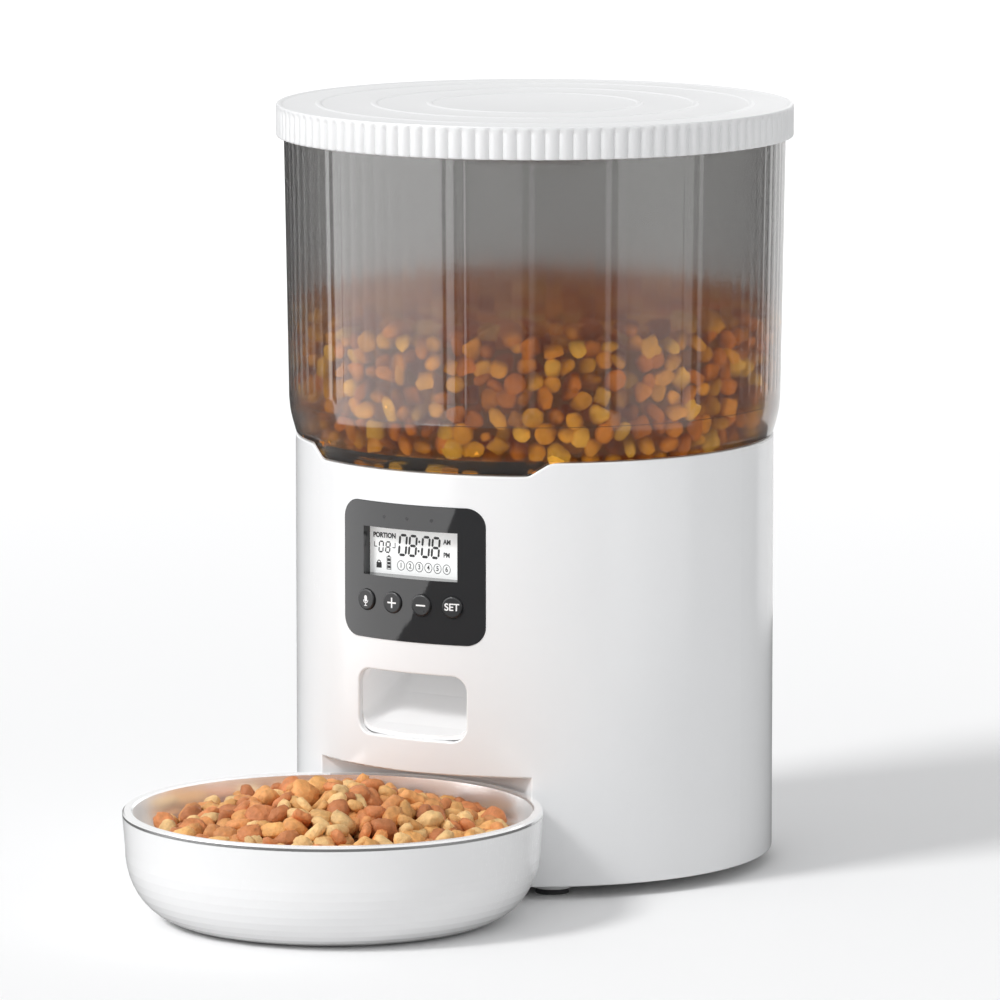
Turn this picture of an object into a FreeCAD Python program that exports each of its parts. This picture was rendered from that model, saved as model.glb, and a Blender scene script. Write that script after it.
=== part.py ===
import FreeCAD, Part

import math
import os

os.makedirs("parts", exist_ok=True)

# Automatic pet feeder. Millimetres. The feeder's upright axis is x = y = 0 while the
# parts are made, its front faces -Y and the floor is z = 0. AXIS_Y then moves
# every part so that the middle of the whole object's outline is over the origin.

# ------------------------------------------------------------------ clearances
FIT_GAP = 0.05          # radial running fit of a shaft in its bore
SEAT_GAP = 0.2          # between moulded pieces that rest on each other
LOOSE_GAP = 0.3         # between pieces that lift or slide apart
PLATE_GAP = 0.15        # round an inlaid plate

# ------------------------------------------------------------------ overall
TOTAL_H = 295.4         # floor to the top of the lid
LID_R = 100.0           # lid, at the crests of its grip ribs
LID_OVERHANG = 7.3      # lid crest beyond the body's side
BODY_R = LID_R - LID_OVERHANG
BODY_WALL = 2.5
BODY_Z0 = 5.0           # lower edge of the body
BODY_TOP = 167.4        # upper rim, where the hopper sits
BODY_IN_R = BODY_R - BODY_WALL
EDGE_ROUND = 0.7        # rounding of the body's outer edges

# ------------------------------------------------------------------ lid
LID_RIM_H = 12.6
LID_RIB_COUNT = 118
LID_RIB_DEPTH = 1.1
LID_WALL = 1.4
LID_TOP_T = 2.0
LID_RAISED = 0.4        # height of the rolled edge and of the three rings
LID_RING_RADII = (40.5, 62.0, 83.5)
LID_RING_W = 1.8
LID_Z0 = TOTAL_H - LID_RIM_H
LID_FLAT_Z = TOTAL_H - LID_RAISED
LID_UNDER_Z = LID_FLAT_Z - LID_TOP_T
LID_IN_R = LID_R - LID_RIB_DEPTH - LID_WALL
PLUG_DEPTH = 7.0        # ring under the lid that goes down inside the hopper
PLUG_WALL = 1.8
PLUG_CLEAR = 1.4
SEAL_H = 2.4
DRY_RING_R = 30.0       # ring under the lid that carries the drying-agent cup
DRY_RING_WALL = 2.0
DRY_RING_H = 9.0
DRY_CUP_H = 17.0
DRY_CUP_WALL = 2.2
DRY_HOLE_R = 1.6

# ------------------------------------------------------------------ hopper
HOPPER_WALL = 2.2
HOPPER_TOP = LID_UNDER_Z - LOOSE_GAP
HOPPER_TOP_R = LID_IN_R - 0.4
SHOULDER_Z = BODY_TOP + 12.4
SHOULDER_R = BODY_R + 2.5
HOPPER_SEAT_Z = BODY_TOP + LOOSE_GAP
SPIGOT_R = BODY_IN_R - 0.8
SPIGOT_H = 9.4
NOTCH_DEPTH = 5.1       # dip in the front of the body's rim, filled by the hopper's tab
NOTCH_TOP_DEG = 34.8
NOTCH_LOW_DEG = 29.5
NOTCH_LOW_ROUND = 4.0
NOTCH_TOP_ROUND = 5.0

# ------------------------------------------------------------------ portioning
CHAMBER_R = 60.0
CHAMBER_WALL = 2.0
CHAMBER_DEPTH = 29.8
DECK_T = 2.0
DECK_TOP = BODY_TOP - 23.4
FLOOR_T = 2.2
FLOOR_TOP = DECK_TOP - CHAMBER_DEPTH
FLOOR_UNDER = FLOOR_TOP - FLOOR_T
OUTLET_HALF_W = 22.0
OUTLET_NEAR = 27.0      # outlet, distance from the axis
OUTLET_FAR = 54.0
BAFFLE_T = 1.6
BAFFLE_HALF_DEG = 60.0
BAFFLE_IN_R = 12.0
BAFFLE_OVER = 8.0       # how far the baffle runs out over the deck
BAFFLE_SCREW_OVER = 5.0
FUNNEL_Z = DECK_TOP + 2.4
FUNNEL_R = CHAMBER_R - 2.4
SHAFT_R = 3.0
ROTOR_HUB_R = 9.0
ROTOR_VANES = 6
ROTOR_VANE_T = 2.2
ROTOR_TIP_GAP = 0.6
ROTOR_FLOOR_GAP = 0.6
ROTOR_H = 25.4
AGITATOR_HUB_R = 7.5
AGITATOR_HUB_H = 17.0
AGITATOR_REACH = 48.0
AGITATOR_ROD_R = 2.5
AGITATOR_FINGER_R = 1.9
AGITATOR_FINGER_H = 6.0
AGITATOR_RISE = 8.5     # arms above the deck
AGITATOR_ARMS = 3

# ------------------------------------------------------------------ gear train
GEAR_MODULE = 1.0
GEAR_PRESSURE_DEG = 20.0
GEAR_ADDENDUM = 0.8
GEAR_DEDENDUM = 1.05
GEAR_BACKLASH = 0.16
OUTPUT_TEETH = 34
PINION_TEETH = 12
IDLER_TEETH = 36
MOTOR_TURN_DEG = 30.0   # direction from the idler to the motor, from +X
UPPER_GEAR_H = 5.6
LOWER_GEAR_H = 5.0
IDLER_PIN_R = 2.0
MOTOR_SHAFT_R = 1.15
BUSH_R = 6.0
BUSH_DROP = 3.6
GEARBOX_WALL = 1.6
GEARBOX_FLOOR_T = 3.0
GEARBOX_ROOM = 1.1
MOTOR_R = 12.0
MOTOR_H = 38.0
SCREW_R = 1.25
SCREW_HEAD_R = 2.6
SCREW_HEAD_H = 1.9
BOSS_R = 3.4
GEARBOX_BOSS_SIDE = 6.0

# ------------------------------------------------------------------ chute
MOUTH_HALF_ARC = 24.3
MOUTH_Z0 = 60.0
MOUTH_H = 25.1
MOUTH_ROUND = 6.0
CHUTE_WALL = 1.8
CHUTE_EAR_OUT = 8.0

# ------------------------------------------------------------------ control panel
PANEL_HALF_ARC = 32.1
PANEL_H = 52.4
PANEL_DROP = 17.7       # panel's top edge below the body's rim
PANEL_ROUND = 7.3
PANEL_T = 1.8
PANEL_PROUD = 0.3
PANEL_LEDGE = 2.0
LCD_HALF_W = 21.0
LCD_H = 18.6
LCD_MID_UP = 33.5       # middle of the display above the panel's lower edge
LCD_DEEP = 6.7          # display behind the body's foremost line
LCD_BORDER = 2.0
LCD_T = 2.0
COLLAR_WALL = 1.2
BOARD_DEEP = 12.7       # control board behind the body's foremost line
BOARD_T = 1.6
BUTTON_R = 4.1
BUTTON_UP = 14.5
BUTTON_OFFSETS = (-19.2, -6.4, 6.4, 19.2)
BUTTON_PROUD = 0.9
BUTTON_GAP = 0.1
BUTTON_FLANGE = 0.8
STEM_R = 1.6
SWITCH_SIDE = 6.0
SWITCH_H = 3.1
LIGHT_R = 0.6
LIGHT_UP = 47.1
LIGHT_OFFSETS = (-10.6, 0.0, 10.6)
PANEL_POST_R = 2.2
PANEL_POST_X = 26.0
PANEL_POST_IN = 6.7

# ------------------------------------------------------------------ bowl
TRAY_R = 78.94
TRAY_NEST = 26.24       # how far the bowl reaches in under the body
TRAY_TOP = 41.2
TRAY_DRAFT = 0.96
TRAY_CURVE_H = 27.5
TRAY_CURVE_W = 24.07
TRAY_CURVE_POWER = 2.12
TRAY_WALL = 2.4
STEEL_T = 0.8
STEEL_RIM_H = 1.6
TRAY_Y = -(BODY_R + TRAY_R - TRAY_NEST)
RECESS_R = TRAY_R + 2.06
RECESS_WALL = 2.0
RECESS_TOP = TRAY_TOP + 5.8
TONGUE_HALF_W = 20.0
TONGUE_T = 2.8
TONGUE_Z0 = 1.6
TONGUE_TIP = 12.5       # tongue beyond the recess wall
RAIL_W = 2.0

# ------------------------------------------------------------------ base and power
BASE_T = 3.0
BASE_TOP = BODY_Z0 + BASE_T
BASE_R = BODY_IN_R - SEAT_GAP
POST_R = 4.2
POST_IN = 10.7          # post centres inside the body's side
POST_DEGS = (52.0, 128.0, 232.0, 308.0)
PILOT_R = SCREW_R + FIT_GAP
PILOT_DEPTH = 14.0
FOOT_BOSS_R = 7.5
FOOT_PAD_R = 6.4
FOOT_PAD_H = 2.2
FOOT_IN = 16.7
FOOT_DEGS = (36.5, 130.0, 230.0, 323.5)
CELL_R = 17.1
CELL_L = 61.5
CELL_PITCH = 2.0 * CELL_R + 1.8
CELL_BACK = 8.0         # middle cell behind the axis
CONTACT_GAP = 2.6       # room for the contact springs at each end of a cell
BOX_WALL = 1.6
DOOR_T = 2.0
DOOR_TONGUE_W = 1.5
DOOR_TONGUE_H = 0.9
DOOR_TRAVEL = 8.0
DOOR_EDGE = 1.1
MAIN_BOARD_HALF_W = 28.0
MAIN_BOARD_H = 45.0
MAIN_BOARD_BACK = 17.1  # main board in front of the body's rearmost line
JACK_Z = 22.5
JACK_R = 5.2
JACK_HALF_W = 5.5
PLUG_HOLE_R = 3.2
PLUG_PIN_R = 1.0
SPEAKER_R = 18.0
SPEAKER_T = 4.4
SPEAKER_Z = 100.0
SPEAKER_BACK = 12.5
MAGNET_R = 9.0
GRILLE_HOLE_R = 1.1

# ------------------------------------------------------------------ derived places
OUTLINE_FRONT = TRAY_Y - TRAY_R
AXIS_Y = -(OUTLINE_FRONT + LID_R) / 2.0
RECESS_OUT_R = RECESS_R + RECESS_WALL
PANEL_Z1 = BODY_TOP - PANEL_DROP
PANEL_Z0 = PANEL_Z1 - PANEL_H
PANEL_HALF_W = BODY_R * math.sin(PANEL_HALF_ARC / BODY_R)
PANEL_OUT_R = BODY_R + PANEL_PROUD
PANEL_IN_R = PANEL_OUT_R - PANEL_T
LCD_Z = PANEL_Z0 + LCD_MID_UP
LCD_Y = -(BODY_R - LCD_DEEP)
BOARD_Y = -(BODY_R - BOARD_DEEP)
BUTTON_Z = PANEL_Z0 + BUTTON_UP
LIGHT_Z = PANEL_Z0 + LIGHT_UP
MOUTH_HALF_W = BODY_R * math.sin(MOUTH_HALF_ARC / BODY_R)
MOUTH_Z1 = MOUTH_Z0 + MOUTH_H
IDLER_Y = GEAR_MODULE * (OUTPUT_TEETH + PINION_TEETH) / 2.0
MOTOR_REACH = GEAR_MODULE * (IDLER_TEETH + PINION_TEETH) / 2.0
MOTOR_X = MOTOR_REACH * math.cos(math.radians(MOTOR_TURN_DEG))
MOTOR_Y = IDLER_Y + MOTOR_REACH * math.sin(math.radians(MOTOR_TURN_DEG))
UPPER_GEAR_Z1 = FLOOR_UNDER - BUSH_DROP - 0.8
UPPER_GEAR_Z0 = UPPER_GEAR_Z1 - UPPER_GEAR_H
LOWER_GEAR_Z1 = UPPER_GEAR_Z0 - 2.0
LOWER_GEAR_Z0 = LOWER_GEAR_Z1 - LOWER_GEAR_H
GEARBOX_FLOOR_Z = LOWER_GEAR_Z0 - 1.0
GEARBOX_Z0 = GEARBOX_FLOOR_Z - GEARBOX_FLOOR_T
EAR_T = 2.2
EAR_TOP = FLOOR_UNDER - 9.0
POST_TOP = DECK_TOP - DECK_T - SEAT_GAP
POST_AT = BODY_R - POST_IN
CELL_Z = BASE_TOP - 0.6 + CELL_R
CELL_YS = (CELL_BACK - CELL_PITCH, CELL_BACK, CELL_BACK + CELL_PITCH)
BOX_HALF_X = CELL_L / 2.0 + CONTACT_GAP
BOX_Y0 = CELL_YS[0] - CELL_R - 0.3
BOX_Y1 = CELL_YS[2] + CELL_R + 0.3
BOX_TOP = CELL_Z + CELL_R + 0.6
DOOR_HALF_W = BOX_HALF_X + 1.0
DOOR_Y0 = BOX_Y0 - DOOR_EDGE
DOOR_Y1 = BOX_Y1 + DOOR_EDGE
MAIN_BOARD_Y = BODY_R - MAIN_BOARD_BACK
SPEAKER_Y = BODY_R - SPEAKER_BACK


# ------------------------------------------------------------------ shape helpers
def vec(x, y, z):
    return FreeCAD.Vector(x, y, z)


def post(radius, z0, z1, x=0.0, y=0.0):
    return Part.makeCylinder(radius, z1 - z0, vec(x, y, z0))


def ring(r_out, r_in, z0, z1, x=0.0, y=0.0):
    return post(r_out, z0, z1, x, y).cut(post(r_in, z0 - 1.0, z1 + 1.0, x, y))


def block(x0, x1, y0, y1, z0, z1):
    return Part.makeBox(x1 - x0, y1 - y0, z1 - z0, vec(x0, y0, z0))


def rod(radius, y0, y1, x, z):
    return Part.makeCylinder(radius, y1 - y0, vec(x, y0, z), vec(0, 1, 0))


def turned(outline, y=0.0):
    corners = [vec(radius, 0.0, height) for radius, height in outline]
    face = Part.Face(Part.makePolygon(corners + corners[:1]))
    solid = face.revolve(vec(0, 0, 0), vec(0, 0, 1), 360.0)
    if solid.Volume < 0.0:
        solid.reverse()
    solid.translate(vec(0, y, 0))
    return solid


def joined(shapes):
    whole = shapes[0].multiFuse(shapes[1:])
    return whole.removeSplitter()


def turned_to(shape, degrees):
    moved = shape.copy()
    moved.rotate(vec(0, 0, 0), vec(0, 0, 1), degrees)
    return moved


def at_degrees(radius, degrees):
    angle = math.radians(degrees)
    return radius * math.sin(angle), -radius * math.cos(angle)


def arc_degrees(offset):
    return math.degrees(offset / BODY_R)


def front_sector(r_in, r_out, half_deg, z0, z1):
    wedge = Part.makeCylinder(r_out, z1 - z0, vec(0, 0, z0), vec(0, 0, 1), 2.0 * half_deg)
    wedge = turned_to(wedge, -90.0 - half_deg)
    return wedge.cut(post(r_in, z0 - 1.0, z1 + 1.0))


def front_window(half_w, z0, z1, radius, depth):
    outside = -(BODY_R + 6.0)
    window = block(-half_w, half_w, outside, outside + depth, z0, z1)
    edges = [edge for edge in window.Edges if abs(edge.tangentAt(0.0).y) > 0.9]
    return window.makeFillet(radius, edges)


def screw(x, y, z_head, z_tip):
    toward = 1.0 if z_tip > z_head else -1.0
    axis = vec(0, 0, toward)
    head = Part.makeCylinder(SCREW_HEAD_R, SCREW_HEAD_H, vec(x, y, z_head - toward * SCREW_HEAD_H), axis)
    shank = Part.makeCylinder(SCREW_R, abs(z_tip - z_head), vec(x, y, z_head), axis)
    slot = block(x - 0.4, x + 0.4, y - 1.8, y + 1.8, z_head - SCREW_HEAD_H - 1.0, z_head + SCREW_HEAD_H + 1.0)
    reach = z_head - toward * SCREW_HEAD_H
    keep = Part.makeCylinder(SCREW_HEAD_R, 0.9, vec(x, y, reach), axis)
    return head.fuse(shank).removeSplitter().cut(slot.common(keep))


def save(node, shape):
    placed = shape.copy()
    placed.translate(vec(0, AXIS_Y, 0))
    placed.exportStep("parts/" + node + ".step")
    print(node, len(placed.Solids), "solids", round(placed.Volume), "mm3", placed.isValid())


# ------------------------------------------------------------------ lid pieces
def ribbed_disc(z0, z1):
    pitch = 2.0 * math.pi / LID_RIB_COUNT
    valley_r = LID_R - LID_RIB_DEPTH
    edges = []
    for index in range(LID_RIB_COUNT):
        start = index * pitch
        crest = start + pitch / 2.0
        end = start + pitch
        first = vec(valley_r * math.cos(start), valley_r * math.sin(start), z0)
        middle = vec(LID_R * math.cos(crest), LID_R * math.sin(crest), z0)
        last = vec(valley_r * math.cos(end), valley_r * math.sin(end), z0)
        edges.append(Part.Arc(first, middle, last).toShape())
    return Part.Face(Part.Wire(edges)).extrude(vec(0, 0, z1 - z0))


def lid_cap():
    side_r = LID_R - LID_RIB_DEPTH
    low = TOTAL_H - 1.6
    outline = [
        (0.0, low),
        (side_r, low),
        (side_r, TOTAL_H - 0.9),
        (side_r - 0.9, TOTAL_H),
        (side_r - 2.6, TOTAL_H),
        (side_r - 3.4, LID_FLAT_Z),
        (0.0, LID_FLAT_Z),
    ]
    return turned(outline)


def lid():
    pieces = [ribbed_disc(LID_Z0, TOTAL_H - 1.6), lid_cap()]
    for radius in LID_RING_RADII:
        half = LID_RING_W / 2.0
        pieces.append(ring(radius + half, radius - half, LID_FLAT_Z - 0.5, TOTAL_H))
    body = joined(pieces).cut(post(LID_IN_R, LID_Z0 - 1.0, LID_UNDER_Z))
    plug_r = HOPPER_TOP_R - HOPPER_WALL - PLUG_CLEAR
    plug = ring(plug_r, plug_r - PLUG_WALL, LID_UNDER_Z - PLUG_DEPTH, LID_UNDER_Z + 0.5)
    collar = ring(DRY_RING_R, DRY_RING_R - DRY_RING_WALL, LID_UNDER_Z - DRY_RING_H, LID_UNDER_Z + 0.5)
    return joined([body, plug, collar])


def lid_seal():
    inner = HOPPER_TOP_R - HOPPER_WALL - PLUG_CLEAR
    outer = HOPPER_TOP_R - HOPPER_WALL - LOOSE_GAP
    middle = LID_UNDER_Z - PLUG_DEPTH / 2.0
    half = SEAL_H / 2.0
    outline = [
        (inner, middle - half),
        (inner + 0.5, middle - half),
        (outer, middle - 0.3),
        (outer, middle + 0.3),
        (inner + 0.5, middle + half),
        (inner, middle + half),
    ]
    return turned(outline)


def desiccant_cup():
    inner = DRY_RING_R + LOOSE_GAP
    outer = inner + DRY_CUP_WALL
    top = LID_UNDER_Z - 1.5
    low = top - DRY_CUP_H
    cup = post(outer, low, top).cut(post(inner, low + 2.0, top + 1.0))
    for ring_r, count in ((0.0, 1), (7.0, 6), (14.0, 12), (21.0, 18)):
        for index in range(count):
            x, y = at_degrees(ring_r, 360.0 * index / count)
            cup = cup.cut(post(DRY_HOLE_R, low - 1.0, low + 3.0, x, y))
    for index in range(12):
        x, y = at_degrees(outer + 0.6, 30.0 * index)
        cup = cup.cut(post(1.2, low - 1.0, low + 9.0, x, y))
    return cup


def desiccant_bag():
    low = LID_UNDER_Z - 1.5 - DRY_CUP_H + 2.0 + SEAT_GAP
    bag = post(DRY_RING_R - DRY_RING_WALL - 1.5, low, low + 11.0)
    return bag.makeFillet(3.5, [bag.Edges[0], bag.Edges[2]])


# ------------------------------------------------------------------ hopper
def notch_prism(lift):
    top_w, _ = at_degrees(BODY_R, NOTCH_TOP_DEG)
    low_w, _ = at_degrees(BODY_R, NOTCH_LOW_DEG)
    rim = BODY_TOP + lift
    low = rim - NOTCH_DEPTH
    side = [(low_w, low), (top_w, rim), (top_w + 12.0, rim), (top_w + 12.0, rim + 6.0)]
    outline = side + [(-x, z) for x, z in reversed(side)]
    outside = -(BODY_R + 6.0)
    corners = [vec(x, outside, z) for x, z in outline]
    face = Part.Face(Part.makePolygon(corners + corners[:1]))
    prism = face.extrude(vec(0, BODY_R - 34.0, 0))
    low_edges = []
    rim_edges = []
    for edge in prism.Edges:
        if abs(edge.tangentAt(0.0).y) < 0.9:
            continue
        place = edge.CenterOfMass
        if abs(place.z - low) < 0.01:
            low_edges.append(edge)
        if abs(place.z - rim) < 0.01 and abs(abs(place.x) - top_w) < 0.01:
            rim_edges.append(edge)
    prism = prism.makeFillet(NOTCH_LOW_ROUND, low_edges)
    rim_edges = []
    for edge in prism.Edges:
        if edge.Curve.TypeId != "Part::GeomLine":
            continue
        place = edge.CenterOfMass
        along = abs(edge.tangentAt(0.0).y) > 0.9
        if along and abs(place.z - rim) < 0.01 and abs(abs(place.x) - top_w) < 0.01:
            rim_edges.append(edge)
    return prism.makeFillet(NOTCH_TOP_ROUND, rim_edges)


def hopper():
    spigot_z0 = HOPPER_SEAT_Z - SPIGOT_H
    spigot_in = SPIGOT_R - HOPPER_WALL
    funnel_out = FUNNEL_R + HOPPER_WALL
    top_in = HOPPER_TOP_R - HOPPER_WALL
    outline = [
        (HOPPER_TOP_R, HOPPER_TOP),
        (SHOULDER_R, SHOULDER_Z),
        (SHOULDER_R - 0.7, SHOULDER_Z - 6.0),
        (SHOULDER_R - 1.7, SHOULDER_Z - 9.6),
        (BODY_R - 0.1, HOPPER_SEAT_Z + 0.6),
        (BODY_R - 0.5, HOPPER_SEAT_Z),
        (SPIGOT_R, HOPPER_SEAT_Z),
        (SPIGOT_R, spigot_z0),
        (spigot_in, spigot_z0),
        (spigot_in, spigot_z0 + 4.0),
        (funnel_out, FUNNEL_Z),
        (FUNNEL_R, FUNNEL_Z),
        (FUNNEL_R, FUNNEL_Z + 1.6),
        (spigot_in, spigot_z0 + 7.0),
        (SHOULDER_R - 4.6, SHOULDER_Z - 9.0),
        (SHOULDER_R - HOPPER_WALL, SHOULDER_Z),
        (top_in, HOPPER_TOP),
    ]
    vessel = turned(outline)
    band = ring(BODY_R - 0.1, SPIGOT_R - 0.6, BODY_TOP - NOTCH_DEPTH, HOPPER_SEAT_Z + 0.3)
    tab = band.common(notch_prism(LOOSE_GAP))
    return joined([vessel, tab])


# ------------------------------------------------------------------ body shell
def recess_wall():
    outer = post(RECESS_OUT_R, BODY_Z0, RECESS_TOP + RECESS_WALL, 0.0, TRAY_Y)
    inner = post(RECESS_R, BODY_Z0 - 1.0, RECESS_TOP, 0.0, TRAY_Y)
    return outer.cut(inner).common(post(BODY_R, 0.0, BODY_TOP))


def shell_post(degrees):
    x, y = at_degrees(POST_AT, degrees)
    rib = turned_to(block(-1.0, 1.0, -BODY_IN_R - 0.8, -POST_AT, BASE_TOP + 0.3, POST_TOP), degrees)
    return post(POST_R, BASE_TOP + 0.3, POST_TOP, x, y).fuse(rib)


def speaker_cup():
    cup = rod(SPEAKER_R + LOOSE_GAP + 1.6, SPEAKER_Y - 1.5, BODY_R, 0.0, SPEAKER_Z)
    cup = cup.cut(rod(SPEAKER_R + LOOSE_GAP, SPEAKER_Y - 2.0, BODY_R + 1.0, 0.0, SPEAKER_Z))
    return cup.common(post(BODY_IN_R + 0.8, 0.0, BODY_TOP))


def grille_holes():
    holes = [rod(GRILLE_HOLE_R, BODY_R - 12.0, BODY_R + 5.0, 0.0, SPEAKER_Z)]
    for ring_r, count in ((4.5, 6), (9.0, 12)):
        for index in range(count):
            angle = 2.0 * math.pi * index / count
            x = ring_r * math.cos(angle)
            z = SPEAKER_Z + ring_r * math.sin(angle)
            holes.append(rod(GRILLE_HOLE_R, BODY_R - 12.0, BODY_R + 5.0, x, z))
    return Part.makeCompound(holes)


def panel_rebate():
    gap = PLATE_GAP
    window = front_window(PANEL_HALF_W + gap, PANEL_Z0 - gap, PANEL_Z1 + gap, PANEL_ROUND + gap, 30.0)
    return window.cut(post(PANEL_IN_R - 0.1, 0.0, TOTAL_H))


def panel_opening(shrink, depth):
    half_w = PANEL_HALF_W - PANEL_LEDGE - shrink
    low = PANEL_Z0 + PANEL_LEDGE + shrink
    high = PANEL_Z1 - PANEL_LEDGE - shrink
    return front_window(half_w, low, high, PANEL_ROUND - PANEL_LEDGE, depth)


def mouth_window(depth):
    return front_window(MOUTH_HALF_W, MOUTH_Z0, MOUTH_Z1, MOUTH_ROUND, depth)


def outer_edges(shell, z0, z1):
    found = []
    for edge in shell.Edges:
        middle = (edge.FirstParameter + edge.LastParameter) / 2.0
        places = [edge.valueAt(edge.FirstParameter), edge.valueAt(middle), edge.valueAt(edge.LastParameter)]
        radii = [math.hypot(place.x, place.y) for place in places]
        in_band = min(place.z for place in places) > z0 and max(place.z for place in places) < z1
        seam = abs(places[0].z - places[2].z) > 0.9 * edge.Length and abs(places[1].y) < 0.01
        if in_band and not seam and min(radii) > BODY_R - 0.01 and max(radii) < BODY_R + 0.01:
            found.append(edge)
    return found


def round_edges(shell):
    bands = (
        (MOUTH_Z0 - 1.0, MOUTH_Z1 + 1.0),
        (BODY_TOP - NOTCH_DEPTH - 1.0, BODY_TOP + 1.0),
        (BODY_Z0 - 1.0, RECESS_TOP + 1.0),
    )
    for z0, z1 in bands:
        edges = []
        for edge in outer_edges(shell, z0, z1):
            if edge.CenterOfMass.y < BODY_R / 2.0 or z0 > JACK_Z:
                edges.append(edge)
        shell = shell.makeFillet(EDGE_ROUND, edges)
    return shell


def body_shell():
    wall = ring(BODY_R, BODY_IN_R, BODY_Z0, BODY_TOP)
    wall = wall.cut(post(RECESS_R, BODY_Z0 - 1.0, RECESS_TOP, 0.0, TRAY_Y))
    pieces = [wall, recess_wall(), speaker_cup()]
    for degrees in POST_DEGS:
        pieces.append(shell_post(degrees))
    shell = joined(pieces)
    shell = shell.cut(notch_prism(0.0))
    shell = shell.cut(panel_rebate())
    shell = shell.cut(panel_opening(0.0, 30.0))
    shell = shell.cut(mouth_window(30.0))
    shell = shell.cut(grille_holes())
    shell = shell.cut(rod(JACK_R + 0.4, BODY_R - 12.0, BODY_R + 5.0, 0.0, JACK_Z))
    for degrees in POST_DEGS:
        x, y = at_degrees(POST_AT, degrees)
        shell = shell.cut(post(PILOT_R, BASE_TOP, BASE_TOP + PILOT_DEPTH, x, y))
        shell = shell.cut(post(PILOT_R, POST_TOP - PILOT_DEPTH, POST_TOP + 1.0, x, y))
    return round_edges(shell)


# ------------------------------------------------------------------ base
def foot_bosses():
    bosses = []
    for degrees in FOOT_DEGS:
        x, y = at_degrees(BODY_R - FOOT_IN, degrees)
        bosses.append(post(FOOT_BOSS_R, FOOT_PAD_H, BODY_Z0 + 1.0, x, y))
    return bosses


def tongue_rails():
    rails = []
    side = TONGUE_HALF_W + LOOSE_GAP
    front = TRAY_Y + RECESS_OUT_R + 2.0
    back = TRAY_Y + RECESS_OUT_R + TONGUE_TIP
    for x0 in (side, -side - RAIL_W):
        rails.append(block(x0, x0 + RAIL_W, front, back, TONGUE_Z0 + 0.6, BODY_Z0 + 1.0))
    return rails


def board_posts():
    posts = []
    for x0 in (MAIN_BOARD_HALF_W - 1.5, -MAIN_BOARD_HALF_W - 3.0):
        post_top = BASE_TOP + 32.0
        posts.append(block(x0, x0 + 4.5, MAIN_BOARD_Y - 2.4, MAIN_BOARD_Y + 4.0, BASE_TOP - 0.5, post_top))
    slot = block(
        -MAIN_BOARD_HALF_W - SEAT_GAP, MAIN_BOARD_HALF_W + SEAT_GAP,
        MAIN_BOARD_Y - 0.1, MAIN_BOARD_Y + BOARD_T + 0.1,
        BASE_TOP + 4.8, BASE_TOP + 40.0,
    )
    return [piece.cut(slot) for piece in posts]


def door_track():
    inner_w = DOOR_HALF_W + LOOSE_GAP
    far = DOOR_Y1 + DOOR_TRAVEL + LOOSE_GAP
    near = DOOR_Y0 - LOOSE_GAP
    high = BODY_Z0 + DOOR_T + 0.2
    track = block(-inner_w, inner_w, near, far, BODY_Z0 - 1.0, high)
    groove_w = inner_w + DOOR_TONGUE_W
    groove_z0 = BODY_Z0 + DOOR_T - DOOR_TONGUE_H - 0.1
    return track.fuse(block(-groove_w, groove_w, near, far, groove_z0, high))


def base_plate():
    plate = post(BASE_R, BODY_Z0, BASE_TOP)
    plate = plate.cut(post(RECESS_OUT_R + SEAT_GAP, 0.0, BASE_TOP + 1.0, 0.0, TRAY_Y))
    plate = joined([plate] + foot_bosses() + tongue_rails() + board_posts())
    plate = plate.cut(door_track())
    plate = plate.cut(block(-BOX_HALF_X, BOX_HALF_X, BOX_Y0, BOX_Y1, BODY_Z0, BASE_TOP + 1.0))
    for degrees in POST_DEGS:
        x, y = at_degrees(POST_AT, degrees)
        plate = plate.cut(post(SCREW_R + 0.3, BODY_Z0 - 1.0, BASE_TOP + 1.0, x, y))
        plate = plate.cut(post(SCREW_HEAD_R + 0.4, BODY_Z0 - 1.0, BODY_Z0 + SCREW_HEAD_H, x, y))
    return plate


def foot_pads():
    pads = []
    for degrees in FOOT_DEGS:
        x, y = at_degrees(BODY_R - FOOT_IN, degrees)
        pads.append(post(FOOT_PAD_R, 0.0, FOOT_PAD_H, x, y))
    return Part.makeCompound(pads)


def battery_door():
    low = BODY_Z0
    high = BODY_Z0 + DOOR_T
    door = block(-DOOR_HALF_W, DOOR_HALF_W, DOOR_Y0, DOOR_Y1, low, high)
    wing = DOOR_HALF_W + DOOR_TONGUE_W
    door = door.fuse(block(-wing, wing, DOOR_Y0, DOOR_Y1, high - DOOR_TONGUE_H, high)).removeSplitter()
    for index in range(5):
        y = DOOR_Y0 + 6.0 + 3.0 * index
        door = door.cut(block(-12.0, 12.0, y, y + 1.2, low - 1.0, low + 0.6))
    return door


def battery_box():
    out_x = BOX_HALF_X + BOX_WALL
    box = block(-out_x, out_x, BOX_Y0 - BOX_WALL, BOX_Y1 + BOX_WALL, BASE_TOP, BOX_TOP + BOX_WALL)
    box = box.cut(block(-BOX_HALF_X, BOX_HALF_X, BOX_Y0, BOX_Y1, BASE_TOP - 1.0, BOX_TOP))
    cradles = []
    for edge_y in (CELL_YS[0] + CELL_PITCH / 2.0, CELL_YS[1] + CELL_PITCH / 2.0):
        for x in (-18.0, 18.0):
            cradles.append(block(x - 1.0, x + 1.0, edge_y - 6.0, edge_y + 6.0, CELL_Z + 6.0, BOX_TOP + 0.5))
    ribs = joined([box] + cradles)
    for y in CELL_YS:
        room = Part.makeCylinder(CELL_R + 0.25, CELL_L, vec(-CELL_L / 2.0, y, CELL_Z), vec(1, 0, 0))
        ribs = ribs.cut(room)
    return ribs


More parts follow.
